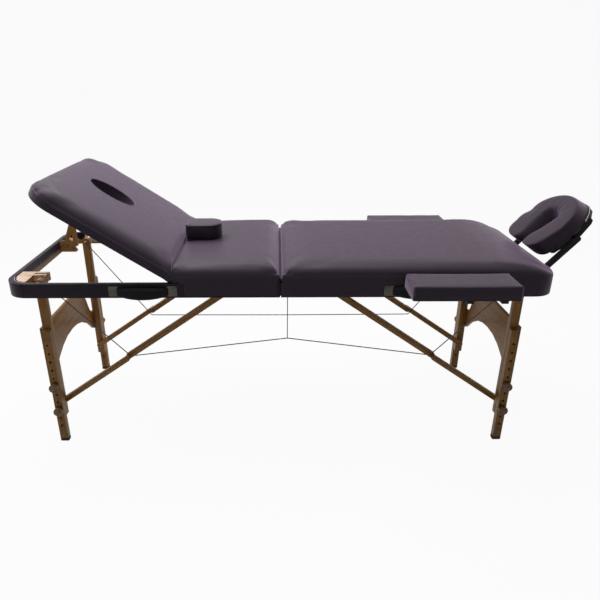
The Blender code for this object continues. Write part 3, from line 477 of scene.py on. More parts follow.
def merged(name, parts, body):
    """Join several new pieces that share a body into one object."""
    bm = bmesh.new()
    materials = []
    for part in parts:
        slots = []
        for material in part.data.materials:
            if material not in materials:
                materials.append(material)
            slots.append(materials.index(material))
        start = len(bm.faces)
        bm.from_mesh(part.data)
        bm.faces.ensure_lookup_table()
        for face in bm.faces[start:]:
            face.material_index = slots[face.material_index]
    mesh = bpy.data.meshes.new(name)
    bm.to_mesh(mesh)
    bm.free()
    for part in parts:
        bpy.data.objects.remove(part)
    obj = bpy.data.objects.new(name, mesh)
    scene.collection.objects.link(obj)
    for material in materials:
        mesh.materials.append(material)
    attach(obj, body)
    return obj


# Upholstery

def marks(low, high, roll_low, roll_high, step):
    """Grid lines between two edges, close together over the rounded edges."""
    near = (0.0, 0.05, 0.14, 0.28, 0.46, 0.70, 1.0)
    spots = [low + roll_low * f for f in near] + [high - roll_high * f for f in near]
    first = low + roll_low
    final = high - roll_high
    count = max(2, round((final - first) / step))
    spots += [first + (final - first) * i / count for i in range(1, count)]
    return sorted({round(v, 6) for v in spots})


def round_corner(x, y, x0, x1, y_half, radii):
    """Move a point of a rectangle so that its corners become arcs. radii run from (x0, -y) round."""
    corners = ((x0, -y_half, 1, 1), (x1, -y_half, -1, 1), (x1, y_half, -1, -1), (x0, y_half, 1, -1))
    for (cx, cy, dx, dy), r in zip(corners, radii):
        a = (cx + dx * r - x) * dx / r
        b = (cy + dy * r - y) * dy / r
        if a > 0 and b > 0:
            reach = max(a, b)
            angle = math.pi / 4 * b / a if a >= b else math.pi / 2 - math.pi / 4 * a / b
            px = cx + dx * r - dx * r * reach * math.cos(angle)
            return px, cy + dy * r - dy * r * reach * math.sin(angle)
    return x, y


def edge_fall(near, drop, soft):
    """How far the top has dropped at a share of its way to an edge: as an arc, or softly as a slope."""
    if near <= 0:
        return 0.0
    near = min(near, 1.0)
    return drop * near ** 2.1 if soft else drop * (1 - math.sqrt(1 - near * near))


EDGE_BLEND = 2.4
FALL_BLEND = 1.7


def slab(name, x0, x1, y_half, radii, rolls, drops, soft, top, upper, skirt, covered, low, step, y_mid=0.0,
         crown=0.0):
    """A closed upholstered slab: a top whose edges roll off, a drawn-in side, and a skirt over the frame.

    rolls and drops are the widths over which the top rolls off at x0, x1, and both y edges, and how far it
    drops there. soft says which of the x edges slope off. upper and skirt are lists of (outset, z), going
    down the side and then round the frame's lower edge. covered says which rim points have a skirt.
    Returns the object and the numbers of the points that the cloth holds still.
    """
    xs = marks(x0, x1, rolls[0], rolls[1], step)
    ys = marks(-y_half, y_half, rolls[2], rolls[2], step)
    wide = len(xs)
    deep = len(ys)
    points = []
    flat = []
    for y in ys:
        for x in xs:
            px, py = round_corner(x, y, x0, x1, y_half, radii)
            near = [1 - (px - x0) / rolls[0], 1 - (x1 - px) / rolls[1]]
            near.append(1 - (y_half - abs(py)) / rolls[2])
            for k, r, ex in ((0, radii[0], x0 + radii[0] - px), (1, radii[1], px - x1 + radii[1])):
                ey = abs(py) - y_half + r
                if r > 0.03 and ex > 0 and ey > 0:
                    width = rolls[2]
                    if not soft[k]:
                        width = (rolls[k] * ex * ex + rolls[2] * ey * ey) / (ex * ex + ey * ey)
                        near[k] = 0.0
                    near[2] = 1 - (r - math.hypot(ex, ey)) / width
            falls = []
            close = max(0.0, near[2]) ** EDGE_BLEND
            for k in (0, 1):
                if soft[k] or drops[k] < drops[2] * 0.6:
                    falls.append(edge_fall(near[k], drops[k], soft[k]))
                else:
                    close += max(0.0, near[k]) ** EDGE_BLEND
            falls.append(edge_fall(close ** (1 / EDGE_BLEND), drops[2], False))
            fallen = sum(fall ** FALL_BLEND for fall in falls) ** (1 / FALL_BLEND)
            z = top - min(fallen, max(drops) * 1.06)
            z += crown * (1 - (2 * abs((x - x0) / (x1 - x0) - 0.5)) ** 3) * (1 - (abs(y) / y_half) ** 3)
            points.append((px, py + y_mid, z))
            flat.append((px, py + y_mid))
    faces = []
    for j in range(deep - 1):
        for i in range(wide - 1):
            k = j * wide + i
            faces.append((k, k + 1, k + wide + 1, k + wide))
    rim = list(range(wide)) + [j * wide + wide - 1 for j in range(1, deep)]
    rim += [(deep - 1) * wide + i for i in range(wide - 2, -1, -1)]
    rim += [j * wide for j in range(deep - 2, 0, -1)]
    count = len(rim)
    ring = [Vector(flat[k]) for k in rim]
    normals = []
    for i in range(count):
        ahead = ring[(i + 1) % count] - ring[i - 1]
        normals.append(Vector((ahead.y, -ahead.x)).normalized())
    held = []
    heads = []
    tails = []
    for i, k in enumerate(rim):
        column = [k]
        share = min(1.0, (points[k][2] - low) / (top - drops[2] - low))
        for outset, z in upper:
            spot = ring[i] + normals[i] * outset
            column.append(len(points))
            points.append((spot.x, spot.y, low + (z - low) * share))
        heads.append(column)
        tail = []
        skirted = covered(ring[i].x, ring[i].y - y_mid)
        for outset, z in (skirt if skirted else [(upper[-1][0] - 0.0009, low)]):
            spot = ring[i] + normals[i] * outset
            tail.append(len(points))
            held.append(len(points))
            points.append((spot.x, spot.y, z))
        tails.append(tail)
    held += [k for column in heads for k in column if points[k][2] < low + 0.016]
    for i in range(count):
        j = (i + 1) % count
        a, b = heads[i], heads[j]
        for k in range(len(a) - 1):
            faces.append((a[k], b[k], b[k + 1], a[k + 1]))
        ta, tb = tails[i], tails[j]
        if len(ta) == len(tb):
            la, lb = [a[-1]] + ta, [b[-1]] + tb
            for k in range(len(la) - 1):
                faces.append((la[k], lb[k], lb[k + 1], la[k + 1]))
        else:
            faces.append((a[-1], b[-1], tb[-1], ta[-1]))
            faces.append(tuple([a[-1]] + ta if len(ta) > len(tb) else [b[-1]] + tb))
    under = {k: tails[i][-1] for i, k in enumerate(rim)}
    for j in range(1, deep - 1):
        for i in range(1, wide - 1):
            k = j * wide + i
            under[k] = len(points)
            held.append(len(points))
            points.append((flat[k][0], flat[k][1], low))
    for j in range(deep - 1):
        for i in range(wide - 1):
            k = j * wide + i
            faces.append((under[k], under[k + wide], under[k + wide + 1], under[k + 1]))
    obj = piece(name, points, faces, VINYL, None, 70.0)
    return obj, sorted(set(held))


PUFF_FRAMES = 20
PUFF_STIFFNESS = 18.0


def puff(obj, held, cap):
    """Swell a padded piece with Blender's cloth, hold the listed points, and limit how far the rest moves."""
    start = points_of(obj)
    group = obj.vertex_groups.new(name="held")
    group.add([int(k) for k in held], 1.0, "REPLACE")
    cloth = obj.modifiers.new("swell", "CLOTH")
    cloth.settings.quality = 5
    cloth.settings.mass = 0.3
    cloth.settings.tension_stiffness = PUFF_STIFFNESS
    cloth.settings.compression_stiffness = PUFF_STIFFNESS
    cloth.settings.shear_stiffness = PUFF_STIFFNESS / 2
    cloth.settings.bending_stiffness = 1.5
    cloth.settings.use_pressure = True
    cloth.settings.uniform_pressure_force = 4.0
    cloth.settings.vertex_group_mass = "held"
    cloth.settings.effector_weights.gravity = 0.0
    cloth.collision_settings.use_collision = False
    cloth.point_cache.frame_start = 1
    cloth.point_cache.frame_end = PUFF_FRAMES
    for step in range(1, PUFF_FRAMES + 1):
        scene.frame_set(step)
    settle(obj)
    scene.frame_set(1)
    moved = points_of(obj) - start
    length = np.linalg.norm(moved, axis=1, keepdims=True)
    limited = cap * np.tanh(length / cap)
    moved = np.where(length > 1e-9, moved / np.maximum(length, 1e-9) * limited, 0.0)
    put_points(obj, start + moved)
    obj.vertex_groups.clear()


def refine(obj):
    sub = obj.modifiers.new("refine", "SUBSURF")
    sub.levels = 1
    sub.render_levels = 1
    settle(obj)
    shade(obj, 60.0)


def pleat(name, base, path, width, height, body):
    """A small stitched-down fold that lies on a cushion's surface along a path."""
    graph = bpy.context.evaluated_depsgraph_get()
    tree = BVHTree.FromObject(base, graph)
    spots = []
    for p in path:
        spot, normal, _, _ = tree.find_nearest(Vector((p[0] + FOLD_X, p[1], p[2])))
        spots.append((spot, normal))
    points = []
    faces = []
    count = len(spots)
    for i, (spot, normal) in enumerate(spots):
        ahead = (spots[min(i + 1, count - 1)][0] - spots[max(i - 1, 0)][0]).normalized()
        across = normal.cross(ahead).normalized()
        fade = math.sin(math.pi * (i + 0.35) / (count - 0.3)) ** 0.6
        for along, up in ((0.0, -0.0012), (0.0004, 0.55), (0.0022, 1.0), (0.006, 0.8), (width, -0.0010)):
            far = spot + across * along
            near, tilt, _, _ = tree.find_nearest(far)
            lift = up * height * fade if up > 0 else up
            points.append(near + tilt * lift)
    for i in range(count - 1):
        for k in range(4):
            a = i * 5 + k
            faces.append((a, a + 1, a + 6, a + 5))
    faces.append((0, 1, 2, 3, 4))
    end = (count - 1) * 5
    faces.append((end, end + 1, end + 2, end + 3, end + 4))
    return piece(name, points, faces, VINYL, body, 50.0, shift=False)


TOP_START = CUSHION_TOP - 0.0045
SIDE = [(0.0, 0.6900), (-0.0004, 0.6800), (-0.0004, 0.6720)]
SKIRT = [(0.0, 0.6640), (0.0, 0.6500), (0.0, 0.6350), (0.0, 0.6200), (-0.0006, 0.6132), (-0.0022, 0.6109),
         (-0.0060, 0.6103), (-0.0140, 0.6104), (-0.0140, 0.6116), (-0.0034, 0.6117), (-0.0009, 0.6150),
         (-0.0009, 0.6400), (-0.0009, 0.6620), (-0.0009, 0.6684)]


def head_skirt(x, y):
    return x > 0.0062


def seat_skirt(x, y):
    return -0.355 < x < -0.0062 and abs(y) > 0.30


FOLD_GAP = 0.0032
COVER_HALF_W = HALF_W + 0.0003
head_cushion, held = slab("head_upholstery", FOLD_GAP, HALF_LENGTH + 0.0004, COVER_HALF_W,
                          (0.008, 0.076, 0.076, 0.008), (0.056, 0.180, 0.036), (0.028, 0.031, 0.028),
                          (False, True), TOP_START, SIDE, SKIRT, head_skirt, CUSHION_LOW, 0.026)
puff(head_cushion, held, 0.0046)
refine(head_cushion)
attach(head_cushion, "head_frame")
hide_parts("head_cushion")

seat_cushion, held = slab("seat_upholstery", -SEAM_X + 0.0015, -FOLD_GAP, COVER_HALF_W,
                          (0.008, 0.008, 0.008, 0.008), (0.007, 0.056, 0.036), (0.006, 0.028, 0.028),
                          (False, False), TOP_START, SIDE, SKIRT, seat_skirt, CUSHION_LOW, 0.024)
puff(seat_cushion, held, 0.0046)
refine(seat_cushion)
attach(seat_cushion, "back_frame")
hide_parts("seat_cushion")

# Cover between the two halves, so that no light shows through the seam; it wears the darker copy of the
# vinyl, painted shade in the seam

flap_points = [(x, y, z) for x in (-0.0030, 0.0036) for y in (-0.313, 0.313) for z in (0.6150, 0.6780)]
flap_faces = [(0, 1, 3, 2), (4, 6, 7, 5), (0, 4, 5, 1), (2, 3, 7, 6), (0, 2, 6, 4), (1, 5, 7, 3)]
piece("seam_flap", flap_points, flap_faces, SHADED_LINING, "head_frame", 30.0)

# Back cushion: built lying flat, swollen, bored for the breathing hole, and then raised

BACK_SIDE = [(0.0, 0.6920), (0.0006, 0.6840), (0.0004, 0.6770), (0.0, 0.6710)]
BACK_SKIRT = [(0.0, 0.6660), (0.0, 0.6634), (-0.0004, 0.6625), (-0.0012, 0.6625), (-0.0012, 0.6660),
              (-0.0012, 0.6684)]
HOLE_X = -SEAM_X - 0.345
HOLE_HALF = (0.089, 0.056)
HOLE_Y = -0.004
HOLE_SIDES = 72


def back_skirt(x, y):
    return x < -SEAM_X - 0.010


def nowhere(x, y):
    return False


def lean_and_raise(points):
    """Cut the seam face back, so that it stands upright once the back is raised, then raise the back."""
    x = points[:, 0] - FOLD_X
    z = points[:, 2]
    share = np.clip((x + SEAM_X + 0.070) / 0.068, 0.0, 1.0)
    share = share * share * (3 - 2 * share)
    x = x - math.tan(BACK_TILT) * np.maximum(z - CUSHION_LOW, 0.0) * share
    dx = x + SEAM_X
    dz = z - SEAM_Z
    c = math.cos(BACK_TILT)
    s = math.sin(BACK_TILT)
    new_x = -SEAM_X + dx * c + dz * s + FOLD_X
    return np.stack([new_x, points[:, 1], SEAM_Z - dx * s + dz * c], axis=1)


def raised(x, y, z):
    spot = lean_and_raise(np.array([[x + FOLD_X, y, z]]))[0]
    return (spot[0] - FOLD_X, spot[1], spot[2])


def hole_ring(grow, z):
    """Places round the breathing hole, while the back lies flat."""
    ring = []
    for k in range(HOLE_SIDES):
        a = 2 * math.pi * k / HOLE_SIDES
        y = HOLE_Y + (HOLE_HALF[1] + grow) * math.sin(a)
        ring.append((HOLE_X + (HOLE_HALF[0] + grow) * math.cos(a), y, z))
    return ring


back_cushion, held = slab("back_upholstery", -BACK_END + 0.0055, -SEAM_X - 0.0025, HALF_W + 0.0002,
                          (0.096, 0.008, 0.008, 0.096), (0.050, 0.009, 0.042), (0.031, 0.008, 0.031),
                          (False, False), TOP_START, BACK_SIDE, BACK_SKIRT, back_skirt, CUSHION_LOW, 0.024,
                          crown=0.003)
puff(back_cushion, held, 0.0046)
refine(back_cushion)
cutter_points = hole_ring(0.0, CUSHION_LOW - 0.02) + hole_ring(0.0, CUSHION_TOP + 0.03)
cutter = piece("hole_cutter", cutter_points, ring_faces(2, HOLE_SIDES), VINYL)
bore = back_cushion.modifiers.new("bore", "BOOLEAN")
bore.object = cutter
bore.operation = "DIFFERENCE"
bore.solver = "EXACT"
settle(back_cushion)
bpy.data.objects.remove(cutter)
spots = points_of(back_cushion)
along = (spots[:, 0] - FOLD_X - HOLE_X) / HOLE_HALF[0]
across = (spots[:, 1] - HOLE_Y) / HOLE_HALF[1]
on_rim = spots[(np.abs(np.hypot(along, across) - 1.0) < 0.01) & (spots[:, 2] > CUSHION_TOP - 0.02)]
rim_height = float(np.mean(on_rim[:, 2])) if len(on_rim) else CUSHION_TOP
put_points(back_cushion, lean_and_raise(spots))
finish_mesh(back_cushion, VINYL, 40.0)
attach(back_cushion, "back_section")
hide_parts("back_cushion")
rim = [Vector(raised(*spot)) for spot in hole_ring(0.0012, rim_height - 0.0024)]
tube("hole_rim", rim, 0.0032, VINYL, "back_section", 12, closed=True)

# Pleats and tucks at the corners, where the cover is folded and stitched down

BACK_PLEAT = [(-0.9020, 0.246), (-0.8960, 0.223), (-0.8880, 0.209), (-0.8770, 0.202), (-0.8680, 0.2045),
              (-0.8590, 0.211), (-0.8490, 0.221), (-0.8400, 0.233), (-0.8330, 0.250)]


def straight(start, end, sign):
    """Seven places on a line, on the side of the table that sign gives."""
    line = [Vector(start).lerp(Vector(end), i / 6) for i in range(7)]
    return [(p.x, sign * p.y, p.z) for p in line]


for name, sign in (("front", -1), ("rear", 1)):
    path = [raised(x, sign * y, CUSHION_TOP) for x, y in BACK_PLEAT]
    pleat("back_" + name + "_pleat", back_cushion, path, 0.008, 0.0008, "back_section")
    path = straight((0.800, 0.285, 0.720), (0.812, 0.319, 0.696), sign)
    pleat("head_" + name + "_pleat", head_cushion, path, 0.007, 0.0011, "head_frame")
    path = straight((0.034, 0.290, 0.716), (0.014, 0.318, 0.698), sign)
    pleat("head_" + name + "_tuck", head_cushion, path, 0.006, 0.0014, "head_frame")
    path = straight((-0.040, 0.290, 0.716), (-0.018, 0.318, 0.698), sign)
    pleat("seat_" + name + "_tuck", seat_cushion, path, 0.006, 0.0014, "back_frame")


# Face cradle

def slope_point(along, normal, y):
    c = math.cos(CRADLE_TILT)
    s = math.sin(CRADLE_TILT)
    return (CRADLE_ROD[0] + along * c - normal * s, y, CRADLE_ROD[1] + along * s + normal * c)


PAD_CENTRE = -0.010
PAD_REACH = 0.0775
PAD_RADIUS = 0.092
PAD_LOW = -0.098
PAD_BEND = 2.0
PAD_HIGH = 0.0545
PAD_FLARE = 0.021


def pad_half_width(u):
    """Half width of the horseshoe: widest at the tips, narrowest at the crown."""
    if u < PAD_CENTRE:
        return 0.0442 + 0.06 * (PAD_CENTRE - u)
    return 0.0442 - 0.0125 * (u - PAD_CENTRE) / PAD_REACH


def cradle_line():
    """Centre line of the horseshoe, open towards the table, as (along, across, direction) places."""
    leg = []
    for i in range(15):
        u = PAD_LOW + (PAD_CENTRE - PAD_LOW) * i / 14
        leg.append((u, PAD_RADIUS - PAD_BEND * (u - PAD_CENTRE) ** 2))
    spots = [(u, -v, Vector((1, 0))) for u, v in leg]
    for i in range(1, 34):
        a = math.pi * (i / 34 - 0.5)
        way = Vector((-PAD_REACH * math.sin(a), PAD_RADIUS * math.cos(a))).normalized()
        spots.append((PAD_CENTRE + PAD_REACH * math.cos(a), PAD_RADIUS * math.sin(a), way))
    return spots + [(u, v, Vector((-1, 0))) for u, v in reversed(leg)]


def cradle_pad():
    """Padded horseshoe: square on the outside, rolled into the slot, gathered round the crown."""
    line = cradle_line()
    ring_size = 36
    section = []
    for k in range(ring_size):
        t = 2 * math.pi * (k + 0.5) / ring_size
        c, s = math.cos(t), math.sin(t)
        power = 0.50 if c > 0 and s > 0 else 0.26
        section.append((squared(c, power), squared(s, power)))
    last = len(line) - 1
    tips = ((0.22, 0.0440), (0.48, 0.0412), (0.70, 0.0350), (0.86, 0.0255), (0.96, 0.0130))
    stations = [(0, grow, push) for grow, push in tips] + [(i, 1.0, 0.0) for i in range(last + 1)]
    stations += [(last, grow, push) for grow, push in reversed(tips)]
    half_high = PAD_HIGH / 2 - 0.0016
    points = []
    for index, grow, push in stations:
        u, v, way = line[index]
        wide = pad_half_width(u)
        dent = 0.012 * math.exp(-((u + 0.018) / 0.020) ** 2) if v > 0.06 else 0.0
        v -= math.copysign(0.65 * wide * (1 - grow), v)
        crown = max(0.0, u) / (PAD_CENTRE + PAD_REACH)
        gather = 0.0042 * crown * (0.5 + 0.5 * math.sin(v * 190.0))
        for across, up in section:
            rise = half_high * up * (0.66 + 0.34 * grow)
            if up > 0 and across > 0:
                rise -= gather * across
            if across < 0:
                rise -= 0.30 * dent * max(up, 0.0)
            reach = across * wide * grow
            lip = 0.0
            if across < 0:
                reach += across * (PAD_FLARE * crown * (1 - up) / 2 - dent)
                lip = 0.013 + 0.007 * min(1.0, max(0.0, -u / 0.06))
                lip *= max(0.0, -up) * max(0.0, (-across - 0.3) / 0.7)
            else:
                reach += across * 0.017 * grow * (1 - up) / 2
            along = u - push * (0.86 + 0.14 * up)
            normal = CRADLE_BASE + 0.0004 + half_high + rise - lip
            points.append(slope_point(along - way.y * reach, normal, v + way.x * reach))
    faces = ring_faces(len(stations), ring_size)
    held = []
    for i in range(len(stations)):
        for k, (across, up) in enumerate(section):
            if up < -0.55:
                held.append(i * ring_size + k)
    return piece("cradle_upholstery", points, faces, VINYL, None, 70.0), held


cradle_cushion, held = cradle_pad()
puff(cradle_cushion, held, 0.0022)
refine(cradle_cushion)
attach(cradle_cushion, "cradle_head")
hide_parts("cradle_cushion")

dressed("cradle_platform", BLACK, 0.0012)
dressed("cradle_arms", BLACK, 0.0016)
dressed("cradle_base", BLACK, 0.0016, paint=lambda c, n: STEEL if c.x < HALF_LENGTH else None)


def rim_strip(name, line, low, high, out, material, body):
    """A thin strip beside the platform, along (along, across, outward along, outward across) places."""
    points = []
    for u, v, nu, nv in line:
        for normal, off in ((low, 0.0002), (high, 0.0002), (high, out), (low, out)):
            points.append(slope_point(u + nu * off, normal, v + nv * off))
    return piece(name, points, ring_faces(len(line), 4), material, body, 30.0)


CROWN_RIM = []
for i in range(9):
    a = math.radians(-20.0 - 5.0 * i)
    u = PAD_CENTRE + PAD_REACH * math.cos(a)
    out = Vector((PAD_RADIUS * math.cos(a), PAD_REACH * math.sin(a))).normalized()
    reach = pad_half_width(u) + 0.90 * PAD_FLARE * max(0.0, u) / (PAD_CENTRE + PAD_REACH) + 0.0036
    CROWN_RIM.append((u + out.x * reach, PAD_RADIUS * math.sin(a) + out.y * reach, out.x, out.y))
FOOT_RIM = [(-0.0960, -0.1222, -0.03, -1.0), (-0.1020, -0.1220, -0.20, -0.98),
            (-0.1160, -0.1100, -0.65, -0.76)]
rim_strip("cradle_crown_strip", CROWN_RIM, 0.0225, 0.0285, 0.0018, STRIP, "cradle_head")
rim_strip("cradle_foot_strip", FOOT_RIM, 0.0170, 0.0230, 0.0014, STRIP, "cradle_head")


# Armrests and bolster

def everywhere(x, y):
    return True


ARM_HALF = (ARM_Y[1] - ARM_Y[0]) / 2
ARM_MID = (ARM_Y[1] + ARM_Y[0]) / 2
ARM_SIDE = [(0.0003, 0.6900), (0.0004, 0.6800), (0.0, 0.6710)]
ARM_SKIRT = [(-0.0002, 0.6650), (-0.0008, 0.6625), (-0.0024, 0.6610), (-0.0130, 0.6606)]
for side_name, sign in (("front", -1), ("rear", 1)):
    top = ARM_TOP - 0.0016 if sign < 0 else ARM_TOP - 0.0165
    pad, held = slab(side_name + "_armrest_upholstery", ARM_X[0], ARM_X[1], ARM_HALF, (0.010,) * 4,
                     (0.0055,) * 3, (0.0048,) * 3, (False, False), top, ARM_SIDE, ARM_SKIRT, everywhere,
                     0.6607, 0.017, sign * ARM_MID)
    puff(pad, held, 0.0016)
    refine(pad)
    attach(pad, side_name + "_armrest")
    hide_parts(side_name + "_armrest_pad")
    dressed(side_name + "_armrest_board", BLACK, 0.0012,
            paint=lambda c, n: STEEL if c.z < 0.6615 and abs(c.y) < ARM_Y[0] + 0.0055 else None)

BOLSTER_X = (-0.356, -0.222)
BOLSTER_Y = 0.028
BOLSTER_TOP = CUSHION_TOP + 0.0628
BOLSTER_SIDE = [(0.0004, 0.7640), (0.0010, 0.7520), (0.0006, 0.7400), (-0.0010, 0.7305), (-0.0045, 0.7260)]
bolster, held = slab("bolster_upholstery", BOLSTER_X[0], BOLSTER_X[1], 0.055, (0.016, 0.050, 0.050, 0.016),
                     (0.009,) * 3, (0.008,) * 3, (False, False), BOLSTER_TOP - 0.0030, BOLSTER_SIDE, [],
                     nowhere, CUSHION_TOP + 0.0012, 0.012, BOLSTER_Y)
puff(bolster, held, 0.0030)
refine(bolster)
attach(bolster, "bolster")
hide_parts("bolster")


def rim_path(x0, x1, y_half, radii, y_mid, z, step=0.006):
    """A closed path round a slab's top edge."""
    around = []
    corners = [(x0, -y_half), (x1, -y_half), (x1, y_half), (x0, y_half)]
    for a, b in zip(corners, corners[1:] + corners[:1]):
        count = round(math.hypot(b[0] - a[0], b[1] - a[1]) / step)
        for i in range(count):
            x = a[0] + (b[0] - a[0]) * i / count
            y = a[1] + (b[1] - a[1]) * i / count
            px, py = round_corner(x, y, x0, x1, y_half, radii)
            around.append((px, py + y_mid, z))
    return around


piping = rim_path(BOLSTER_X[0] + 0.0012, BOLSTER_X[1] - 0.0012, 0.0538, (0.015, 0.049, 0.049, 0.015),
                  BOLSTER_Y, BOLSTER_TOP - 0.0075)
tube("bolster_piping", piping, 0.0021, VINYL_EDGE, "bolster", 8, closed=True)

# Frame rails

RAIL_THICK = 0.016
WRAP_Z = 0.631


def rail_depth(x, y):
    """How far a point lies inside the frame's outer outline."""
    ex = abs(x) - (HALF_LENGTH - CORNER_R)
    ey = abs(y) - (HALF_W - CORNER_R)
    if ex > 0 and ey > 0:
        return CORNER_R - math.hypot(ex, ey)
    return min(HALF_LENGTH - abs(x), HALF_W - abs(y))


def paint_side_rail(c, n):
    if abs(c.y) < RAIL_IN - 0.0008:
        return STEEL
    if abs(c.y) < RAIL_IN + 0.0008 and c.z < WRAP_Z:
        return WOOD_LONG
    return None


def paint_end_rail(c, n):
    if abs(n.z) > 0.7 and (c.z > RAIL_TOP - 0.001 or c.z < RAIL_LOW + 0.001):
        return None
    inside = rail_depth(c.x, c.y)
    if inside > RAIL_THICK + 0.0008:
        return WOOD_RAW if c.y < 0 and c.x < 0 and (n.z > 0.5 or n.y < -0.7) else WOOD_ACROSS
    if inside > RAIL_THICK - 0.0008:
        # Inner faces above the wrap get the darker copy of the vinyl, as painted shade
        return WOOD_ACROSS if c.z < WRAP_Z else SHADED_LINING
    return None


def paint_hinge_rail(c, n):
    if c.z < RAIL_LOW - 0.0002 or abs(c.x) > 0.0206:
        return STEEL
    return None


WRAP_CUT = [((0, 0, WRAP_Z), (0, 0, 1))]
# The back half's rails take the darker copy of the vinyl, which is painted shade
for half_name, cover in (("head", VINYL), ("back", SHADED_RAIL_VINYL)):
    for side_name in ("front", "rear"):
        dressed(half_name + "_" + side_name + "_rail", cover, 0.0030, 3, paint=paint_side_rail, cuts=WRAP_CUT)
    dressed(half_name + "_end_rail", cover, 0.0030, 3, paint=paint_end_rail, cuts=WRAP_CUT)
    dressed(half_name + "_hinge_rail", VINYL, 0.0010, paint=paint_hinge_rail)

# Raw edge of the cover, stapled down over the corner block and inside the end rail

CORNER_MID = (-HALF_LENGTH + CORNER_R, -HALF_W + CORNER_R)
EDGE_STEPS = 52
EDGE_OUT = 0.0606
STAPLE_R = 0.0562
STAPLE_WIRE = 0.0006


def on_corner(r, a, z):
    """A place at a radius and angle about the middle of the frame's open corner."""
    return (CORNER_MID[0] + r * math.cos(a), CORNER_MID[1] + r * math.sin(a), z)


flap_points = []
for i in range(EDGE_STEPS + 1):
    a = math.radians(183.0 + 84.0 * i / EDGE_STEPS)
    inner = 0.0520 + (0.0026 if i % 2 else -0.0022) + 0.0012 * math.sin(i * 2.3)
    for r, up in ((EDGE_OUT, -0.0008), (inner, -0.0012), (inner, -0.0002), (EDGE_OUT, 0.0002)):
        flap_points.append(on_corner(r, a, RAIL_TOP + up))
flap_faces = ring_faces(EDGE_STEPS + 1, 4)
piece("corner_cover_edge", flap_points, flap_faces, VINYL, "back_frame", 30.0)
staples = []
for i in range(7):
    a = math.radians(190.0 + 70.0 * i / 6)
    ends = []
    for turn, lift in ((-0.075, -0.0012), (-0.075, 0.0006), (0.075, 0.0006), (0.075, -0.0012)):
        ends.append(on_corner(STAPLE_R, a + turn, RAIL_TOP - 0.0006 + lift))
    staples.append(tube("staple", ends, STAPLE_WIRE, STEEL, None, 6))
for i in range(15):
    y = -0.170 + 0.0215 * i
    x = -HALF_LENGTH + RAIL_THICK
    ends = [(x - 0.0008, y, 0.6350), (x + 0.0007, y, 0.6350)]
    ends += [(x + 0.0007, y + 0.0085, 0.6356), (x - 0.0008, y + 0.0085, 0.6356)]
    staples.append(tube("staple", ends, STAPLE_WIRE, STEEL, None, 6))
merged("cover_staples", staples, "back_frame")

for node in ("head_panel", "seat_panel", "back_panel"):
    mesh = nodes[node].data
    mesh.materials.clear()
    mesh.materials.append(PLY)
    mesh.materials.append(VINYL)
    tilt = BACK_TILT if node == "back_panel" else 0.0
    down = Vector((-math.sin(tilt), 0, -math.cos(tilt)))
    for face in mesh.polygons:
        face.material_index = 0 if face.normal.dot(down) > 0.9 else 1
nodes["hinge_pin"].data.materials.clear()
nodes["hinge_pin"].data.materials.append(STEEL)

# Legs, braces and fittings

KNOB_LEVELS = (("a", 0.243), ("b", 0.141))
CAP_PROFILE = [(0.0, 0.0065), (0.0010, 0.0065), (0.0018, 0.0055), (0.0024, 0.0034), (0.0026, 0.0006)]


def paint_pin(inner_y):
    """Paint the fittings that lie nearer to the middle than a wooden bar does."""
    return lambda c, n: BRASSY if abs(c.y) < inner_y else None


for half_name, side in (("head", 1), ("back", -1)):
    brace_wood = WOOD_HEAD_BRACE if side > 0 else WOOD_BACK_BRACE
    dressed(half_name + "_arch_panel", WOOD_ACROSS, 0.0012)
    for side_name, sign in (("front", -1), ("rear", 1)):
        tag = half_name + "_" + side_name
        dressed(tag + "_upper_leg", WOOD_UP, 0.0016, paint=paint_pin(0.2380))
        dressed(tag + "_lower_leg", WOOD_UP, 0.0016)
        dressed(tag + "_foot", RUBBER, 0.0012)
        dressed(tag + "_upper_brace", brace_wood, 0.0014, paint=paint_pin(0.1990))
        dressed(tag + "_lower_brace", brace_wood, 0.0014)
        for letter, z in KNOB_LEVELS:
            knob = tag + "_knob_" + letter
            dressed(knob, WOOD_KNOB, 0.0012, 3)
            lathe(knob + "_cap", (side * LEG_X, sign * 0.3000, z), (0, sign, 0), CAP_PROFILE, WOOD_KNOB, knob)
dressed("back_prop", WOOD_UP, 0.0012)

# Carrying handles: a padded strap between two riveted plates, on the front rails

PLATE_HALF = (0.0170, 0.0180)
PLATE_LEVELS = ((0.0, -0.0003), (0.0, -0.0022), (0.0008, -0.0030), (0.0030, -0.0030), (0.0042, -0.0036),
                (0.0062, -0.0040))
RIVET_PROFILE = [(0.0, 0.0036), (0.0006, 0.0036), (0.0012, 0.0028), (0.0015, 0.0014), (0.0016, 0.0003)]
STRAP_STEPS = 44


def strap_place(side, f):
    """The strap at a share of its length: x, back face y, thickness, middle z, half height."""
    rise = max(0.0, math.sin(math.pi * f)) ** 0.6
    x = side * (HANDLE_X[0] + 0.010 + (HANDLE_X[1] - HANDLE_X[0] - 0.020) * f)
    out = -HALF_W - 0.0008 - 0.0125 * rise
    return x, out, 0.0018 + 0.0092 * rise, HANDLE_Z - 0.003 * rise, 0.0110 + 0.0105 * rise


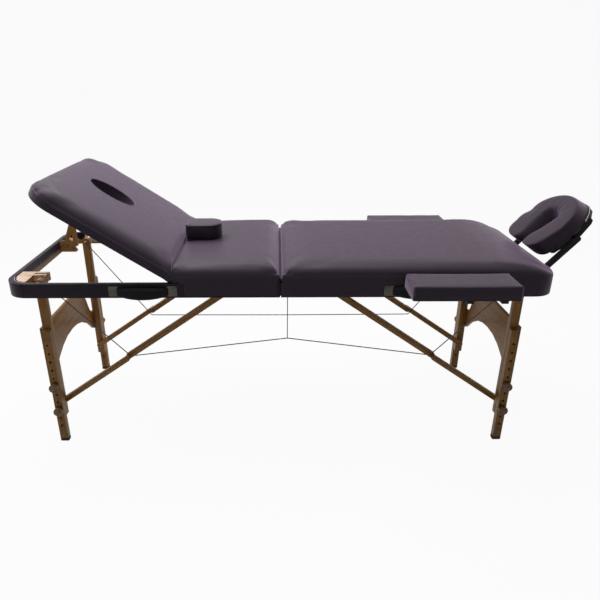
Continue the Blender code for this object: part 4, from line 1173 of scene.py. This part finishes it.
def handle_strap(name, side, body, node):
    ring_size = 20
    points = []
    for i in range(STRAP_STEPS + 1):
        x, out, thick, middle, tall = strap_place(side, i / STRAP_STEPS)
        for k in range(ring_size):
            t = 2 * math.pi * (k + 0.5) / ring_size
            across = squared(math.cos(t), 0.62)
            up = squared(math.sin(t), 0.50)
            points.append((x, out - thick / 2 + across * thick / 2, middle + up * tall))
    faces = ring_faces(STRAP_STEPS + 1, ring_size)
    strap = piece(name + "_strap", points, faces, WEB, None, 70.0)
    refine(strap)
    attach(strap, body)
    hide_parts(node)
    plates = []
    for cx in HANDLE_X:
        plates += handle_plate(side * cx)
    merged(name + "_plates", plates, body)
    stitches = []
    for row in (-1, 1):
        for i in range(4, 41):
            f = i / STRAP_STEPS - 0.004
            g = f + 0.013
            ends = []
            for h in (f, (f + g) / 2, g):
                x, out, thick, middle, tall = strap_place(side, h)
                ends.append((x, out - thick + 0.0003, middle + row * (tall - 0.0060)))
            stitches.append(tube(name + "_stitch", ends, 0.0005, THREAD, None, 5))
    merged(name + "_stitching", stitches, body)


def handle_plate(cx):
    """The pieces of a pressed plate with a rolled rim and two rivets."""
    points = []
    for inset, out in PLATE_LEVELS:
        w, h = PLATE_HALF[0] - inset, PLATE_HALF[1] - inset
        r = max(0.0045 - inset, 0.0012)
        for sx, sz, start in ((1, 1, 0), (-1, 1, 90), (-1, -1, 180), (1, -1, 270)):
            for k in range(5):
                a = math.radians(start + 22.5 * k)
                z = HANDLE_Z + sz * (h - r) + r * math.sin(a)
                points.append((cx + sx * (w - r) + r * math.cos(a), -HALF_W + out, z))
    faces = ring_faces(len(PLATE_LEVELS), 20)
    pieces = [piece("plate", points, faces, BRASSY, None, 30.0)]
    for dz in (-0.0095, 0.0095):
        centre = (cx, -HALF_W - 0.0038, HANDLE_Z + dz)
        pieces.append(lathe("rivet", centre, (0, -1, 0), RIVET_PROFILE, BRASSY, None, 14, 30.0))
    return pieces


handle_strap("head_carry", 1, "head_frame", "head_handle")
handle_strap("back_carry", -1, "back_frame", "back_handle")

# Fold hinge: knuckles by turns on each half

KNUCKLE_PROFILE = [(0.0, 0.0032), (0.0004, 0.0042), (0.0228, 0.0042), (0.0232, 0.0032)]
for half_name, turn in (("head", 0), ("back", 1)):
    knuckles = []
    for i in range(turn, 24, 2):
        centre = (0.0, -0.288 + 0.024 * i + 0.0004, FOLD_Z)
        knuckles.append(lathe("knuckle", centre, (0, 1, 0), KNUCKLE_PROFILE, STEEL, None, 16))
    merged(half_name + "_hinge_knuckles", knuckles, half_name + "_frame")

# Tie cables


def eased(corners, radius, step=0.02):
    """A path through the corners with each bend eased to an arc."""
    corners = [Vector(c) for c in corners]
    path = [corners[0]]
    for before, corner, after in zip(corners, corners[1:], corners[2:]):
        a = (before - corner).normalized()
        b = (after - corner).normalized()
        half = math.acos(max(-1.0, min(1.0, a.dot(b)))) / 2
        back = radius / math.tan(half)
        start = corner + a * back
        end = corner + b * back
        for i in range(9):
            t = i / 8
            path.append(start * (1 - t) ** 2 + corner * (2 * t * (1 - t)) + end * t * t)
    path.append(corners[-1])
    even = [path[0]]
    for a, b in zip(path, path[1:]):
        count = max(1, round((b - a).length / step))
        even += [a + (b - a) * (i / count) for i in range(1, count + 1)]
    return even


for side_name, sign in (("front", -1), ("rear", 1)):
    y = sign * CABLE_Y
    low = ELBOW[1] - 0.014
    tie_z = TIE_Z if sign < 0 else low - 0.002
    tie_x = TIE_X if sign < 0 else TIE_X + 0.0076
    meet = (tie_x - 0.0006) / (tie_x + ELBOW[0])
    fold_z = tie_z + (low - tie_z) * meet
    for half_name, side in (("head", 1), ("back", -1)):
        corners = [(side * LEG_X, sign * CABLE_END_Y, LEG_PIVOT_Z), (side * ELBOW[0], y, low)]
        corners += [(tie_x, y, tie_z)] if side > 0 else []
        corners += [(side * 0.0006, y, fold_z)]
        path = eased(corners, 0.012, 0.006)
        name = half_name + "_" + side_name + "_tie_cable"
        cable = tube(name, path, 0.0020, CABLE, None, 12, groove=0.0004)
        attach(cable, half_name + "_frame")
        if half_name == "head":
            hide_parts(side_name + "_cable")
        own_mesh(cable)
    rise = RAIL_LOW - 0.0052 - tie_z
    path = [Vector((tie_x, y, tie_z + 0.0008 + rise * i / 24)) for i in range(25)]
    tie = tube(side_name + "_hanger_cable", path, 0.0017, CABLE, None, 10, groove=0.0003)
    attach(tie, "head_frame")
    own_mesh(tie)


# Floor, light and background

def seen_level(tree, plain, seen):
    """A value that is seen for camera, glossy and transmission rays, and plain for all others."""
    rays = tree.nodes.new("ShaderNodeLightPath")
    value = rays.outputs["Is Camera Ray"]
    for kind in ("Is Glossy Ray", "Is Transmission Ray"):
        either = tree.nodes.new("ShaderNodeMath")
        either.operation = "MAXIMUM"
        tree.links.new(value, either.inputs[0])
        tree.links.new(rays.outputs[kind], either.inputs[1])
        value = either.outputs[0]
    level = tree.nodes.new("ShaderNodeMapRange")
    level.inputs["To Min"].default_value = plain
    level.inputs["To Max"].default_value = seen
    tree.links.new(value, level.inputs["Value"])
    return level.outputs["Result"]


FLOOR_REACH = 40.0
SWEEP_Y = 5.0
SWEEP_R = 3.0
sweep = [(-FLOOR_REACH, 0.0), (SWEEP_Y, 0.0)]
for i in range(1, 17):
    a = math.pi / 2 * i / 16
    sweep.append((SWEEP_Y + SWEEP_R * math.sin(a), SWEEP_R - SWEEP_R * math.cos(a)))
sweep.append((SWEEP_Y + SWEEP_R, 9.0))
floor_mesh = bpy.data.meshes.new("floor")
floor_points = [(x, y, z) for y, z in sweep for x in (-FLOOR_REACH, FLOOR_REACH)]
floor_faces = [(2 * i, 2 * i + 1, 2 * i + 3, 2 * i + 2) for i in range(len(sweep) - 1)]
floor_mesh.from_pydata(floor_points, [], floor_faces)
for face in floor_mesh.polygons:
    face.use_smooth = True
floor = bpy.data.objects.new("floor", floor_mesh)
scene.collection.objects.link(floor)
floor_look = Look("pale_floor", 0.80, specular=0.1)
floor_cloud = floor_look.noise(floor_look.place(), 3.0, 3.0)
floor_look.colour(floor_look.ramp(floor_cloud, [(0.3, (0.69, 0.69, 0.69)), (0.7, (0.71, 0.71, 0.71))]))
floor_glow = floor_look.add("ShaderNodeEmission", {"Strength": 1.0})
floor_blend = floor_look.add("ShaderNodeMixShader")
floor_look.link(seen_level(floor_look.tree, 0.0, 0.95), floor_blend.inputs["Fac"])
floor_look.link(floor_look.shader.outputs[0], floor_blend.inputs[1])
floor_look.link(floor_glow.outputs[0], floor_blend.inputs[2])
floor_look.link(floor_blend.outputs[0], floor_look.tree.nodes["Material Output"].inputs["Surface"])
floor_mesh.materials.append(floor_look.material)


def lamp(name, place, aim, size, power):
    data = bpy.data.lights.new(name, "AREA")
    data.shape = "RECTANGLE"
    data.size = size[0]
    data.size_y = size[1]
    data.energy = power
    obj = bpy.data.objects.new(name, data)
    obj.location = place
    obj.rotation_euler = (Vector(aim) - Vector(place)).to_track_quat("-Z", "Y").to_euler()
    scene.collection.objects.link(obj)


lamp("overhead", (-0.75, 0.50, 2.70), (-0.40, 0.1, 0.6), (2.4, 2.4), 88.0)
lamp("left_fill", (-4.2, -0.9, 1.4), (-0.3, 0.0, 0.3), (2.0, 1.6), 4.0)

world = bpy.data.worlds.new("studio")
world.use_nodes = True
scene.world = world
sky = world.node_tree.nodes["Background"]
sky.inputs["Color"].default_value = (1, 1, 1, 1)
world.node_tree.links.new(seen_level(world.node_tree, 0.048, 1.0), sky.inputs["Strength"])
